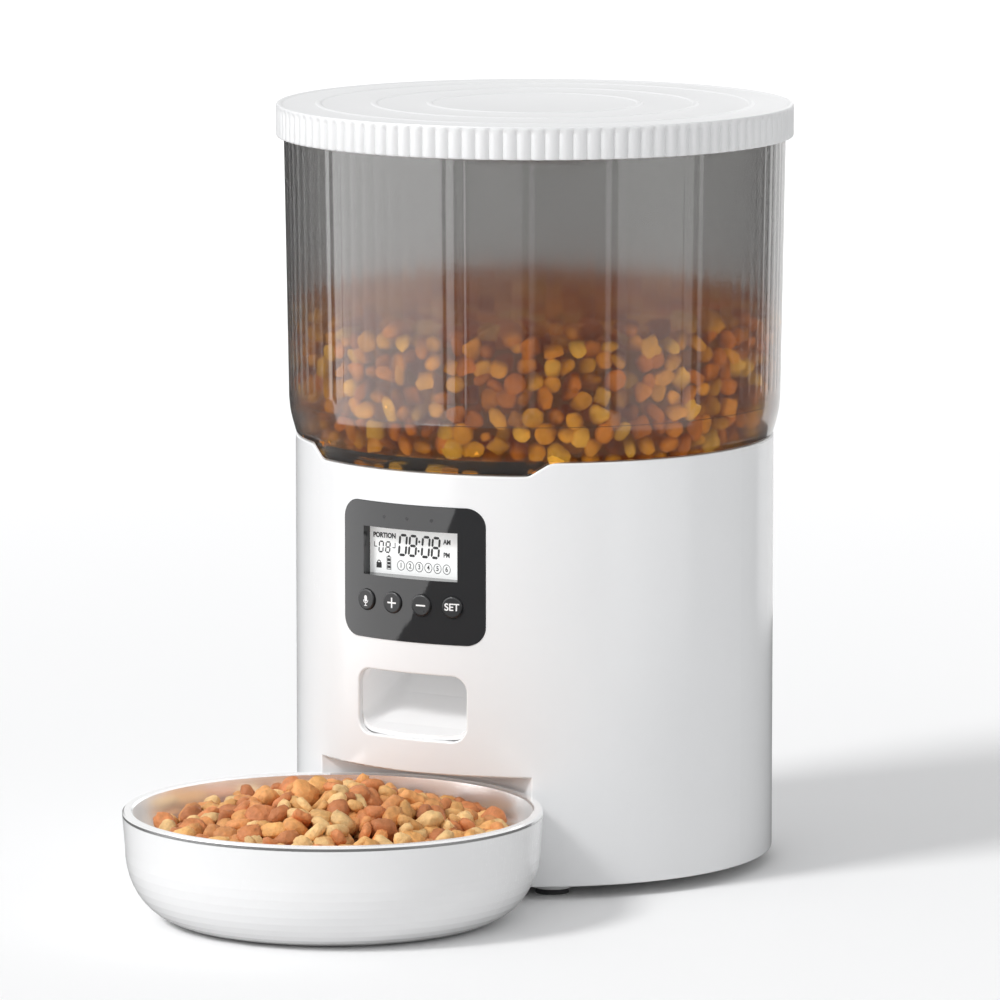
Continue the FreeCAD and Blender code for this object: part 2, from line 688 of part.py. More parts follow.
def battery_cells():
    cells = []
    for index, y in enumerate(CELL_YS):
        way = 1.0 if index % 2 == 0 else -1.0
        start = vec(-way * CELL_L / 2.0, y, CELL_Z)
        axis = vec(way, 0, 0)
        can = Part.makeCylinder(CELL_R, CELL_L - 1.5, start, axis)
        tip = Part.makeCylinder(4.7, 1.5, vec(way * (CELL_L / 2.0 - 1.5), y, CELL_Z), axis)
        cells.append(can.fuse(tip).removeSplitter())
    return Part.makeCompound(cells)


def battery_contacts():
    pieces = []
    for index, y in enumerate(CELL_YS):
        way = 1.0 if index % 2 == 0 else -1.0
        plate_x = BOX_HALF_X - 0.5
        for side in (-1.0, 1.0):
            x0 = min(side * plate_x, side * BOX_HALF_X)
            plate = block(x0, x0 + 0.5, y - 7.0, y + 7.0, CELL_Z - 7.0, CELL_Z + 7.0)
            room = CONTACT_GAP - 0.5
            axis = vec(-side, 0, 0)
            bump = Part.makeCone(6.0, 3.5, room, vec(side * plate_x, y, CELL_Z), axis)
            if side * way > 0.0:
                bump = Part.makeCone(3.0, 2.0, room, vec(side * plate_x, y, CELL_Z), axis)
            pieces.append(plate.fuse(bump).removeSplitter())
    return Part.makeCompound(pieces)


# ------------------------------------------------------------------ electronics in the base
def main_board():
    low = BASE_TOP + 5.0
    board = block(
        -MAIN_BOARD_HALF_W, MAIN_BOARD_HALF_W,
        MAIN_BOARD_Y, MAIN_BOARD_Y + BOARD_T, low, low + MAIN_BOARD_H,
    )
    front = MAIN_BOARD_Y + 0.01
    chips = [
        block(-8.0, 4.0, MAIN_BOARD_Y - 1.6, front, low + 24.0, low + 36.0),
        block(10.0, 18.0, MAIN_BOARD_Y - 3.5, front, low + 8.0, low + 20.0),
        rod(4.0, MAIN_BOARD_Y - 8.0, front, -16.0, low + 12.0),
        rod(3.2, MAIN_BOARD_Y - 6.0, front, 16.0, low + 32.0),
    ]
    return joined([board] + chips)


def power_jack():
    back = BODY_IN_R - 1.8
    housing = block(-JACK_HALF_W, JACK_HALF_W, MAIN_BOARD_Y + BOARD_T, back, JACK_Z - 5.5, JACK_Z + 5.5)
    mouth = rod(JACK_R, back - 0.5, BODY_R - 1.2, 0.0, JACK_Z)
    jack = housing.fuse(mouth).removeSplitter()
    jack = jack.cut(rod(PLUG_HOLE_R, back - 8.0, BODY_R + 1.0, 0.0, JACK_Z))
    pin = rod(PLUG_PIN_R, back - 8.5, BODY_R - 1.6, 0.0, JACK_Z)
    return jack.fuse(pin).removeSplitter()


def speaker():
    frame = rod(SPEAKER_R, SPEAKER_Y, SPEAKER_Y + SPEAKER_T, 0.0, SPEAKER_Z)
    dish_place = vec(0, SPEAKER_Y + SPEAKER_T - 2.9, SPEAKER_Z)
    dish = Part.makeCone(4.0, SPEAKER_R - 2.0, 3.0, dish_place, vec(0, 1, 0))
    magnet = rod(MAGNET_R, SPEAKER_Y - 5.5, SPEAKER_Y + 0.5, 0.0, SPEAKER_Z)
    return frame.cut(dish).fuse(magnet).removeSplitter()


# ------------------------------------------------------------------ portioning pieces
def ear_places():
    low_x = -(GEAR_MODULE * IDLER_TEETH / 2.0 + GEARBOX_ROOM + GEARBOX_WALL) - GEARBOX_BOSS_SIDE
    high_x = gearbox_sides()[1] + GEARBOX_BOSS_SIDE
    return ((low_x, -8.0), (low_x, MOTOR_Y + 2.0), (high_x, 6.0))


def chute_ear_places():
    x = MOUTH_HALF_W + CHUTE_EAR_OUT
    y = -(OUTLET_NEAR + OUTLET_FAR) / 2.0
    return ((-x, y), (x, y))


def inner_deck():
    plate = ring(BASE_R, CHAMBER_R, DECK_TOP - DECK_T, DECK_TOP)
    wall = ring(CHAMBER_R + CHAMBER_WALL, CHAMBER_R, FLOOR_UNDER, DECK_TOP)
    floor = post(CHAMBER_R + CHAMBER_WALL, FLOOR_UNDER, FLOOR_TOP)
    bush = post(BUSH_R, FLOOR_UNDER - BUSH_DROP, FLOOR_UNDER + 0.5)
    pieces = [plate, wall, floor, bush]
    for x, y in ear_places() + chute_ear_places():
        pieces.append(post(BOSS_R, EAR_TOP + SEAT_GAP, FLOOR_UNDER + 0.5, x, y))
    for x in (-1.0, 1.0):
        place = baffle_screw_place(x)
        pieces.append(post(BOSS_R, DECK_TOP - 9.0, DECK_TOP - 0.5, place[0], place[1]))
    deck = joined(pieces)
    half = OUTLET_HALF_W
    outlet = block(-half, half, -OUTLET_FAR, -OUTLET_NEAR, FLOOR_UNDER - 1.0, FLOOR_TOP + 1.0)
    upright = [edge for edge in outlet.Edges if abs(edge.tangentAt(0.0).z) > 0.9]
    deck = deck.cut(outlet.makeFillet(4.0, upright))
    deck = deck.cut(post(SHAFT_R + FIT_GAP, FLOOR_UNDER - BUSH_DROP - 1.0, FLOOR_TOP + 1.0))
    panel_room = block(-PANEL_HALF_W, PANEL_HALF_W, -BODY_R, BOARD_Y + 5.5, DECK_TOP - 4.0, DECK_TOP + 1.0)
    deck = deck.cut(panel_room)
    for x, y in ear_places() + chute_ear_places():
        deck = deck.cut(post(PILOT_R, EAR_TOP, FLOOR_UNDER - 0.6, x, y))
    for side in (-1.0, 1.0):
        x, y = baffle_screw_place(side)
        deck = deck.cut(post(PILOT_R, DECK_TOP - 7.5, DECK_TOP + 1.0, x, y))
    for degrees in POST_DEGS:
        x, y = at_degrees(POST_AT, degrees)
        deck = deck.cut(post(SCREW_R + 0.3, DECK_TOP - 5.0, DECK_TOP + 1.0, x, y))
    return deck


def baffle_screw_place(side):
    return at_degrees(CHAMBER_R + CHAMBER_WALL + BAFFLE_SCREW_OVER, side * (BAFFLE_HALF_DEG - 8.0))


def portion_baffle():
    reach = CHAMBER_R + CHAMBER_WALL + BAFFLE_OVER
    plate = front_sector(BAFFLE_IN_R, CHAMBER_R + 1.0, BAFFLE_HALF_DEG, DECK_TOP, DECK_TOP + BAFFLE_T)
    tabs = front_sector(CHAMBER_R, reach, BAFFLE_HALF_DEG, DECK_TOP, DECK_TOP + BAFFLE_T)
    between = BAFFLE_HALF_DEG - 16.0
    tabs = tabs.cut(front_sector(CHAMBER_R - 1.0, reach + 1.0, between, DECK_TOP - 1.0, DECK_TOP + 3.0))
    plate = joined([plate, tabs])
    for side in (-1.0, 1.0):
        x, y = baffle_screw_place(side)
        plate = plate.cut(post(SCREW_R + 0.3, DECK_TOP - 1.0, DECK_TOP + 3.0, x, y))
    return plate


def rotor():
    low = FLOOR_TOP + ROTOR_FLOOR_GAP
    high = low + ROTOR_H
    pieces = [post(ROTOR_HUB_R, low, high)]
    tip = CHAMBER_R - ROTOR_TIP_GAP
    for index in range(ROTOR_VANES):
        vane = block(-ROTOR_VANE_T / 2.0, ROTOR_VANE_T / 2.0, -tip - 1.0, -ROTOR_HUB_R + 1.0, low, high)
        vane = vane.common(post(tip, low, high))
        pieces.append(turned_to(vane, 30.0 + 360.0 * index / ROTOR_VANES))
    return joined(pieces).cut(post(SHAFT_R + FIT_GAP, low - 1.0, high + 1.0))


def agitator():
    low = FLOOR_TOP + ROTOR_FLOOR_GAP + ROTOR_H + SEAT_GAP
    high = low + AGITATOR_HUB_H
    arm_z = DECK_TOP + AGITATOR_RISE
    hub = turned([
        (0.0, low),
        (AGITATOR_HUB_R, low),
        (AGITATOR_HUB_R, high - 4.0),
        (AGITATOR_HUB_R - 2.5, high - 1.0),
        (0.0, high),
    ])
    pieces = [hub]
    for index in range(AGITATOR_ARMS):
        arm = rod(AGITATOR_ROD_R, -AGITATOR_REACH, -AGITATOR_HUB_R + 2.0, 0.0, arm_z)
        finger_y = AGITATOR_ROD_R - AGITATOR_REACH + 0.4
        finger = post(AGITATOR_FINGER_R, arm_z, arm_z + AGITATOR_FINGER_H, 0.0, finger_y)
        arm = joined([arm, finger])
        pieces.append(turned_to(arm, 360.0 * index / AGITATOR_ARMS))
    shaft_top = arm_z + 2.0
    return joined(pieces).cut(post(SHAFT_R + FIT_GAP, low - 1.0, shaft_top + 0.3))


def drive_shaft():
    return post(SHAFT_R, GEARBOX_FLOOR_Z - 1.8, DECK_TOP + AGITATOR_RISE + 2.0)


# ------------------------------------------------------------------ gears
def involute(angle):
    return math.tan(angle) - angle


def tooth_half_angle(teeth, radius):
    pitch_r = GEAR_MODULE * teeth / 2.0
    pressure = math.radians(GEAR_PRESSURE_DEG)
    base_r = pitch_r * math.cos(pressure)
    at_pitch = (math.pi * GEAR_MODULE / 2.0 - GEAR_BACKLASH) / 2.0 / pitch_r
    if radius <= base_r:
        return at_pitch + involute(pressure)
    return at_pitch + involute(pressure) - involute(math.acos(base_r / radius))


def gear_prism(teeth, phase_deg, z0, z1, x, y):
    pitch_r = GEAR_MODULE * teeth / 2.0
    tip_r = pitch_r + GEAR_ADDENDUM * GEAR_MODULE
    root_r = pitch_r - GEAR_DEDENDUM * GEAR_MODULE
    base_r = pitch_r * math.cos(math.radians(GEAR_PRESSURE_DEG))
    flank_r = max(base_r, root_r + 0.05)
    radii = [root_r] + [flank_r + (tip_r - flank_r) * step / 3.0 for step in range(4)]
    corners = []
    for index in range(teeth):
        middle = math.radians(phase_deg) + 2.0 * math.pi * index / teeth
        left = [(radius, middle - tooth_half_angle(teeth, radius)) for radius in radii]
        right = [(radius, middle + tooth_half_angle(teeth, radius)) for radius in reversed(radii)]
        for radius, angle in left + right:
            corners.append(vec(x + radius * math.cos(angle), y + radius * math.sin(angle), z0))
    face = Part.Face(Part.makePolygon(corners + corners[:1]))
    return face.extrude(vec(0, 0, z1 - z0))


def output_gear():
    gear = gear_prism(OUTPUT_TEETH, 90.0, UPPER_GEAR_Z0, UPPER_GEAR_Z1, 0.0, 0.0)
    gear = gear.cut(post(SHAFT_R + FIT_GAP, UPPER_GEAR_Z0 - 1.0, UPPER_GEAR_Z1 + 1.0))
    for index in range(6):
        x, y = at_degrees(9.5, 60.0 * index)
        gear = gear.cut(post(2.6, UPPER_GEAR_Z0 - 1.0, UPPER_GEAR_Z1 + 1.0, x, y))
    return gear


def idler_gear():
    half_step = 180.0 / PINION_TEETH
    wheel = gear_prism(IDLER_TEETH, MOTOR_TURN_DEG, LOWER_GEAR_Z0, LOWER_GEAR_Z1, 0.0, IDLER_Y)
    pinion = gear_prism(PINION_TEETH, 270.0 + half_step, LOWER_GEAR_Z1 - 0.2, UPPER_GEAR_Z1, 0.0, IDLER_Y)
    both = joined([wheel, pinion])
    return both.cut(post(IDLER_PIN_R + FIT_GAP, LOWER_GEAR_Z0 - 1.0, UPPER_GEAR_Z1 + 1.0, 0.0, IDLER_Y))


def motor_pinion():
    half_step = 180.0 / PINION_TEETH
    gap_at = MOTOR_TURN_DEG + 180.0
    teeth = gear_prism(PINION_TEETH, gap_at + half_step, LOWER_GEAR_Z0, LOWER_GEAR_Z1, MOTOR_X, MOTOR_Y)
    shaft = post(MOTOR_SHAFT_R, GEARBOX_Z0 - 9.0, LOWER_GEAR_Z1, MOTOR_X, MOTOR_Y)
    return joined([teeth, shaft])


def motor():
    top = GEARBOX_Z0 - SEAT_GAP
    can = post(MOTOR_R, top - MOTOR_H, top, MOTOR_X, MOTOR_Y)
    can = can.makeFillet(1.6, [can.Edges[0], can.Edges[2]])
    flat = MOTOR_R - 2.2
    for side in (-1.0, 1.0):
        low = min(side * flat, side * (MOTOR_R + 2.0))
        can = can.cut(block(
            MOTOR_X + low, MOTOR_X + low + MOTOR_R + 2.0 - flat,
            MOTOR_Y - MOTOR_R, MOTOR_Y + MOTOR_R, top - MOTOR_H + 6.0, top - 6.0,
        ))
    cap = post(4.0, top - MOTOR_H - 2.2, top - MOTOR_H + 1.0, MOTOR_X, MOTOR_Y)
    can = joined([can, cap])
    for side in (-1.0, 1.0):
        tag = block(MOTOR_X + side * 8.0 - 0.3, MOTOR_X + side * 8.0 + 0.3, MOTOR_Y - 1.2, MOTOR_Y + 1.2,
                    top - MOTOR_H - 4.0, top - MOTOR_H + 0.8)
        can = can.fuse(tag)
        can = can.cut(post(PILOT_R, top - 5.0, top + 1.0, MOTOR_X, MOTOR_Y + side * 7.0))
    return can.removeSplitter().cut(post(MOTOR_SHAFT_R + FIT_GAP, top - 9.4, top + 1.0, MOTOR_X, MOTOR_Y))


def gearbox_sides():
    wheel_r = GEAR_MODULE * IDLER_TEETH / 2.0 + GEAR_ADDENDUM * GEAR_MODULE
    wide = max(wheel_r, GEAR_MODULE * OUTPUT_TEETH / 2.0) + GEARBOX_ROOM + GEARBOX_WALL
    pinion_r = GEAR_MODULE * PINION_TEETH / 2.0 + GEAR_ADDENDUM * GEAR_MODULE
    high_x = MOTOR_X + pinion_r + GEARBOX_ROOM + GEARBOX_WALL
    low_y = -(GEAR_MODULE * OUTPUT_TEETH / 2.0 + GEAR_ADDENDUM * GEAR_MODULE + GEARBOX_ROOM + GEARBOX_WALL)
    high_y = IDLER_Y + wide
    return -wide, high_x, low_y, high_y


def gearbox_housing():
    x0, x1, y0, y1 = gearbox_sides()
    top = FLOOR_UNDER - SEAT_GAP
    outer = block(x0, x1, y0, y1, GEARBOX_Z0, top)
    wall = GEARBOX_WALL
    inner = block(x0 + wall, x1 - wall, y0 + wall, y1 - wall, GEARBOX_FLOOR_Z, top + 1.0)
    upright = [edge for edge in outer.Edges if abs(edge.tangentAt(0.0).z) > 0.9]
    outer = outer.makeFillet(5.0, upright)
    upright = [edge for edge in inner.Edges if abs(edge.tangentAt(0.0).z) > 0.9]
    inner = inner.makeFillet(3.4, upright)
    pieces = [outer.cut(inner)]
    pieces.append(post(IDLER_PIN_R, GEARBOX_FLOOR_Z - 0.5, FLOOR_UNDER - 1.0, 0.0, IDLER_Y))
    for x, y in ear_places():
        pieces.append(post(BOSS_R + 0.6, EAR_TOP - EAR_T, EAR_TOP, x, y))
        inward = x0 + 0.8 if x < 0.0 else x1 - 0.8
        pieces.append(block(min(x, inward), max(x, inward), y - 2.5, y + 2.5, EAR_TOP - EAR_T, EAR_TOP))
    box = joined(pieces)
    box = box.cut(post(SHAFT_R + FIT_GAP, GEARBOX_FLOOR_Z - 2.0, GEARBOX_FLOOR_Z + 1.0))
    box = box.cut(post(3.0, GEARBOX_Z0 - 1.0, GEARBOX_FLOOR_Z + 1.0, MOTOR_X, MOTOR_Y))
    for side in (-1.0, 1.0):
        screw_y = MOTOR_Y + side * 7.0
        box = box.cut(post(SCREW_R + 0.2, GEARBOX_Z0 - 1.0, GEARBOX_FLOOR_Z + 1.0, MOTOR_X, screw_y))
        box = box.cut(post(2.3, GEARBOX_FLOOR_Z - 1.2, GEARBOX_FLOOR_Z + 1.0, MOTOR_X, MOTOR_Y + side * 7.0))
    for x, y in ear_places():
        box = box.cut(post(SCREW_R + 0.3, EAR_TOP - 5.0, EAR_TOP + 1.0, x, y))
    return box


# ------------------------------------------------------------------ chute
def chute_section(back, front, half_w, round_r):
    length = math.hypot(front[0] - back[0], front[1] - back[1])
    way_y = (front[0] - back[0]) / length
    way_z = (front[1] - back[1]) / length

    def place(across, along):
        return vec(across, back[0] + along * way_y, back[1] + along * way_z)

    diagonal = round_r * (1.0 - math.sqrt(0.5))
    near = round_r
    far = length - round_r
    side = half_w - round_r
    mid_w = half_w - diagonal
    mid_far = length - diagonal
    edges = [
        Part.LineSegment(place(-side, 0.0), place(side, 0.0)).toShape(),
        Part.Arc(place(side, 0.0), place(mid_w, diagonal), place(half_w, near)).toShape(),
        Part.LineSegment(place(half_w, near), place(half_w, far)).toShape(),
        Part.Arc(place(half_w, far), place(mid_w, mid_far), place(side, length)).toShape(),
        Part.LineSegment(place(side, length), place(-side, length)).toShape(),
        Part.Arc(place(-side, length), place(-mid_w, mid_far), place(-half_w, far)).toShape(),
        Part.LineSegment(place(-half_w, far), place(-half_w, near)).toShape(),
        Part.Arc(place(-half_w, near), place(-mid_w, diagonal), place(-side, 0.0)).toShape(),
    ]
    return Part.Wire(edges)


def chute_path():
    top = FLOOR_UNDER - SEAT_GAP
    drop = top - MOUTH_Z0
    far = BODY_R
    back_top = OUTLET_NEAR - 1.5
    front_top = OUTLET_FAR + 2.5
    return (
        ((-back_top, top), (-front_top, top)),
        ((-back_top - 1.0, top - 0.12 * drop), (-front_top - 0.6, top - 0.12 * drop)),
        ((-back_top - 7.0, top - 0.33 * drop), (-front_top - 6.0, top - 0.26 * drop)),
        ((-back_top - 19.0, top - 0.56 * drop), (-front_top - 15.0, top - 0.38 * drop)),
        ((-back_top - 36.0, top - 0.77 * drop), (-far + 14.0, MOUTH_Z1 + 2.0)),
        ((-far + 10.0, MOUTH_Z0 + 3.6), (-far + 9.0, MOUTH_Z1)),
        ((-far - 3.0, MOUTH_Z0), (-far - 3.0, MOUTH_Z1)),
    )


def chute_duct(grow):
    sections = []
    for back, front in chute_path():
        length = math.hypot(front[0] - back[0], front[1] - back[1])
        way_y = (front[0] - back[0]) / length
        way_z = (front[1] - back[1]) / length
        wide_back = (back[0] - grow * way_y, back[1] - grow * way_z)
        wide_front = (front[0] + grow * way_y, front[1] + grow * way_z)
        sections.append(chute_section(wide_back, wide_front, MOUTH_HALF_W + grow, MOUTH_ROUND + grow))
    return Part.makeLoft(sections, True, True)


def chute():
    duct = chute_duct(CHUTE_WALL).cut(chute_duct(0.0))
    duct = duct.common(post(BODY_IN_R - SEAT_GAP, 0.0, BODY_TOP))
    pieces = [duct]
    for x, y in chute_ear_places():
        pieces.append(post(BOSS_R + 0.6, EAR_TOP - EAR_T, EAR_TOP, x, y))
        inward = math.copysign(MOUTH_HALF_W + 0.9, x)
        pieces.append(block(min(x, inward), max(x, inward), y - 2.5, y + 2.5, EAR_TOP - EAR_T, EAR_TOP))
    whole = joined(pieces)
    for x, y in chute_ear_places():
        whole = whole.cut(post(SCREW_R + 0.3, EAR_TOP - 5.0, EAR_TOP + 1.0, x, y))
    return whole


# ------------------------------------------------------------------ control panel
def panel_post_places():
    low = PANEL_Z0 + PANEL_POST_IN
    high = PANEL_Z1 - PANEL_POST_IN
    return [(x, z) for x in (-PANEL_POST_X, PANEL_POST_X) for z in (low, high)]


def radial_pin(radius, r_from, r_to, offset, z):
    pin = Part.makeCylinder(radius, r_from - r_to, vec(0, -r_from, z), vec(0, 1, 0))
    return turned_to(pin, arc_degrees(offset))


def panel_bezel():
    band = ring(PANEL_OUT_R, PANEL_IN_R, PANEL_Z0, PANEL_Z1)
    plate = band.common(front_window(PANEL_HALF_W, PANEL_Z0, PANEL_Z1, PANEL_ROUND, 40.0))
    frame = panel_opening(SEAT_GAP, 30.0).cut(panel_opening(SEAT_GAP + 1.4, 31.0))
    frame = frame.common(ring(PANEL_IN_R + 0.5, BODY_IN_R - 1.5, PANEL_Z0, PANEL_Z1))
    collar_w = LCD_HALF_W + COLLAR_WALL
    collar_h = LCD_H / 2.0 + COLLAR_WALL
    collar = block(-collar_w, collar_w, -BODY_R, LCD_Y, LCD_Z - collar_h, LCD_Z + collar_h)
    collar = collar.common(post(PANEL_IN_R + 0.5, 0.0, BODY_TOP))
    pieces = [plate, frame, collar]
    for x, z in panel_post_places():
        plate_y = -math.sqrt(PANEL_IN_R ** 2 - (abs(x) - PANEL_POST_R) ** 2)
        pieces.append(rod(PANEL_POST_R, plate_y, BOARD_Y - SEAT_GAP, x, z))
    posts_and_plate = joined(pieces)
    lcd_z0 = LCD_Z - LCD_H / 2.0
    window = block(-LCD_HALF_W, LCD_HALF_W, -BODY_R - 3.0, LCD_Y + 1.0, lcd_z0, lcd_z0 + LCD_H)
    bezel = posts_and_plate.cut(window)
    for offset in BUTTON_OFFSETS:
        hole = radial_pin(BUTTON_R + BUTTON_GAP, PANEL_OUT_R + 3.0, PANEL_IN_R - 0.3, offset, BUTTON_Z)
        bezel = bezel.cut(hole)
    for offset in LIGHT_OFFSETS:
        bezel = bezel.cut(radial_pin(LIGHT_R + FIT_GAP, PANEL_OUT_R + 3.0, PANEL_IN_R - 1.0, offset, LIGHT_Z))
    for x, z in panel_post_places():
        bezel = bezel.cut(rod(1.0 + FIT_GAP, BOARD_Y - 5.5, BOARD_Y + 1.0, x, z))
    return bezel


def button(offset):
    top_r = PANEL_OUT_R + BUTTON_PROUD
    flange_r = PANEL_IN_R - 0.2
    cap = radial_pin(BUTTON_R, top_r, flange_r - 1.4, offset, BUTTON_Z)
    cap = cap.makeFillet(0.6, [edge for edge in cap.Edges if edge_radius_out(edge) > top_r - 0.1])
    flange = radial_pin(BUTTON_R + BUTTON_FLANGE, flange_r, flange_r - 1.4, offset, BUTTON_Z)
    stem_end = (-BOARD_Y + SWITCH_H + 2.2) / math.cos(offset / BODY_R)
    stem = radial_pin(STEM_R, flange_r - 1.0, stem_end, offset, BUTTON_Z)
    return joined([cap, flange, stem])


def edge_radius_out(edge):
    place = edge.CenterOfMass
    return math.hypot(place.x, place.y)


def tact_switches():
    switches = []
    half = SWITCH_SIDE / 2.0
    for offset in BUTTON_OFFSETS:
        x = (-BOARD_Y + 2.0) * math.tan(offset / BODY_R)
        body = block(x - half, x + half, BOARD_Y - SWITCH_H, BOARD_Y, BUTTON_Z - half, BUTTON_Z + half)
        plunger = rod(1.7, BOARD_Y - SWITCH_H - 0.6, BOARD_Y - SWITCH_H + 0.5, x, BUTTON_Z)
        switches.append(body.fuse(plunger).removeSplitter())
    return Part.makeCompound(switches)


def indicator_lights():
    lights = []
    for offset in LIGHT_OFFSETS:
        end = (-BOARD_Y + SEAT_GAP + 0.1) / math.cos(offset / BODY_R)
        lights.append(radial_pin(LIGHT_R, PANEL_OUT_R, end, offset, LIGHT_Z))
    return Part.makeCompound(lights)


def lcd_box(y0, y1):
    half_w = LCD_HALF_W + LCD_BORDER
    half_h = LCD_H / 2.0 + LCD_BORDER
    return block(-half_w, half_w, y0, y1, LCD_Z - half_h, LCD_Z + half_h)


def lcd_panel():
    return lcd_box(LCD_Y + 0.1, LCD_Y + 0.1 + LCD_T)


def lcd_backlight():
    return lcd_box(LCD_Y + 0.1 + LCD_T, BOARD_Y)


def control_board():
    half_w = PANEL_HALF_W - PANEL_LEDGE - 1.6
    board = block(-half_w, half_w, BOARD_Y, BOARD_Y + BOARD_T, PANEL_Z0 + 3.0, PANEL_Z1 - 3.0)
    chip_y = BOARD_Y + BOARD_T
    chip = block(-9.0, 3.0, chip_y - 0.1, chip_y + 1.4, PANEL_Z0 + 22.0, PANEL_Z0 + 32.0)
    board = joined([board, chip])
    for x, z in panel_post_places():
        board = board.cut(rod(1.3, BOARD_Y - 1.0, BOARD_Y + 3.0, x, z))
    return board


def panel_screws():
    screws = []
    for x, z in panel_post_places():
        shank = rod(1.0, BOARD_Y - 5.0, BOARD_Y + BOARD_T + 0.5, x, z)
        head = rod(1.9, BOARD_Y + BOARD_T, BOARD_Y + BOARD_T + 1.3, x, z)
        screws.append(joined([shank, head]))
    return Part.makeCompound(screws)


# ------------------------------------------------------------------ bowl
def tray_curve(shift_r, shift_z, top):
    points = []
    flat_r = TRAY_R - TRAY_DRAFT - TRAY_CURVE_W
    for step in range(13):
        rise = 1.0 - math.cos(math.radians(7.5 * step))
        height = TRAY_CURVE_H * rise
        out = (1.0 - (1.0 - rise) ** TRAY_CURVE_POWER) ** (1.0 / TRAY_CURVE_POWER)
        points.append((flat_r + TRAY_CURVE_W * out + shift_r, height + shift_z))
    points.append((TRAY_R + shift_r, top))
    return points


def tray():
    top = TRAY_TOP - STEEL_RIM_H - SEAT_GAP
    outer = [(0.0, 0.0)] + tray_curve(0.0, 0.0, top) + [(0.0, top)]
    inner = [(0.0, TRAY_WALL)] + tray_curve(-TRAY_WALL, TRAY_WALL, top + 1.0) + [(0.0, top + 1.0)]
    cup = turned(outer, TRAY_Y).cut(turned(inner, TRAY_Y))
    start = TRAY_Y + TRAY_R - TRAY_DRAFT - TRAY_CURVE_W + 7.9
    tip = TRAY_Y + RECESS_OUT_R + TONGUE_TIP - 0.5
    tongue = block(-TONGUE_HALF_W, TONGUE_HALF_W, start, tip, TONGUE_Z0, TONGUE_Z0 + TONGUE_T)
    ends = []
    for edge in tongue.Edges:
        if abs(edge.tangentAt(0.0).z) > 0.9 and edge.CenterOfMass.y > tip - 1.0:
            ends.append(edge)
    return joined([cup, tongue.makeFillet(4.0, ends)])


def steel_bowl():
    under = TRAY_TOP - STEEL_RIM_H
    gap = TRAY_WALL + 0.8
    outer = tray_curve(-gap, gap, under)
    inner = tray_curve(-gap - STEEL_T, gap + STEEL_T, TRAY_TOP - 0.6)
    outline = [(0.0, gap)] + outer
    outline += [(TRAY_R, under), (TRAY_R, TRAY_TOP - 0.7), (TRAY_R - 0.7, TRAY_TOP)]
    outline += [(TRAY_R - gap - STEEL_T + 0.7, TRAY_TOP)]
    outline += list(reversed(inner)) + [(0.0, gap + STEEL_T)]
    return turned(outline, TRAY_Y)


# ------------------------------------------------------------------ screws
def deck_screws():
    places = [at_degrees(POST_AT, degrees) for degrees in POST_DEGS]
    return Part.makeCompound([screw(x, y, DECK_TOP, DECK_TOP - 13.0) for x, y in places])


def base_screws():
    places = [at_degrees(POST_AT, degrees) for degrees in POST_DEGS]
    head = BODY_Z0 + SCREW_HEAD_H
    return Part.makeCompound([screw(x, y, head, head + 13.0) for x, y in places])


def gearbox_screws():
    head = EAR_TOP - EAR_T
    screws = [screw(x, y, head, head + 9.0) for x, y in ear_places()]
    return Part.makeCompound(screws)


def chute_screws():
    head = EAR_TOP - EAR_T
    screws = [screw(x, y, head, head + 9.0) for x, y in chute_ear_places()]
    return Part.makeCompound(screws)


def baffle_screws():
    head = DECK_TOP + BAFFLE_T
    places = [baffle_screw_place(side) for side in (-1.0, 1.0)]
    return Part.makeCompound([screw(x, y, head, head - 8.0) for x, y in places])


def motor_screws():
    screws = []
    head = GEARBOX_FLOOR_Z - 1.2
    for side in (-1.0, 1.0):
        y = MOTOR_Y + side * 7.0
        shank = post(SCREW_R, GEARBOX_Z0 - 4.5, head + 0.5, MOTOR_X, y)
        screws.append(joined([shank, post(2.1, head, head + 1.2, MOTOR_X, y)]))
    return Part.makeCompound(screws)


PARTS = {
    "lid": lid,
    "lid_seal": lid_seal,
    "desiccant_cup": desiccant_cup,
    "desiccant_bag": desiccant_bag,
    "hopper": hopper,
    "body_shell": body_shell,
    "base_plate": base_plate,
    "foot_pads": foot_pads,
    "inner_deck": inner_deck,
    "portion_baffle": portion_baffle,
    "rotor": rotor,
    "agitator": agitator,
    "drive_shaft": drive_shaft,
    "output_gear": output_gear,
    "idler_gear": idler_gear,
    "motor_pinion": motor_pinion,
    "motor": motor,
    "gearbox_housing": gearbox_housing,
    "chute": chute,
    "panel_bezel": panel_bezel,
    "tact_switches": tact_switches,
    "indicator_lights": indicator_lights,
    "lcd_panel": lcd_panel,
    "lcd_backlight": lcd_backlight,
    "control_board": control_board,
    "panel_screws": panel_screws,
    "main_board": main_board,
    "power_jack": power_jack,
    "speaker": speaker,
    "battery_box": battery_box,
    "battery_cells": battery_cells,
    "battery_contacts": battery_contacts,
    "battery_door": battery_door,
    "deck_screws": deck_screws,
    "base_screws": base_screws,
    "gearbox_screws": gearbox_screws,
    "chute_screws": chute_screws,
    "baffle_screws": baffle_screws,
    "motor_screws": motor_screws,
    "tray": tray,
    "steel_bowl": steel_bowl,
}

for node, make in PARTS.items():
    save(node, make())

BUTTON_NAMES = ("record_button", "plus_button", "minus_button", "set_button")
for node, offset in zip(BUTTON_NAMES, BUTTON_OFFSETS):
    save(node, button(offset))
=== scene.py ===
# %% [markdown]
# # A pet feeder with a smoked hopper
#
# This lesson dresses a fixed mechanical model of an automatic pet feeder. The frame
# below brings in every part of the machine in metres, already in its place: nothing of
# it is moved or resized here. What the lesson adds is what the eye judges first, which
# is the moulded surfaces, the fluted hopper, the food and the light.

# %% Load the fixed frame
import math

import bmesh
import bpy
import numpy as np
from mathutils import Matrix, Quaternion, Vector


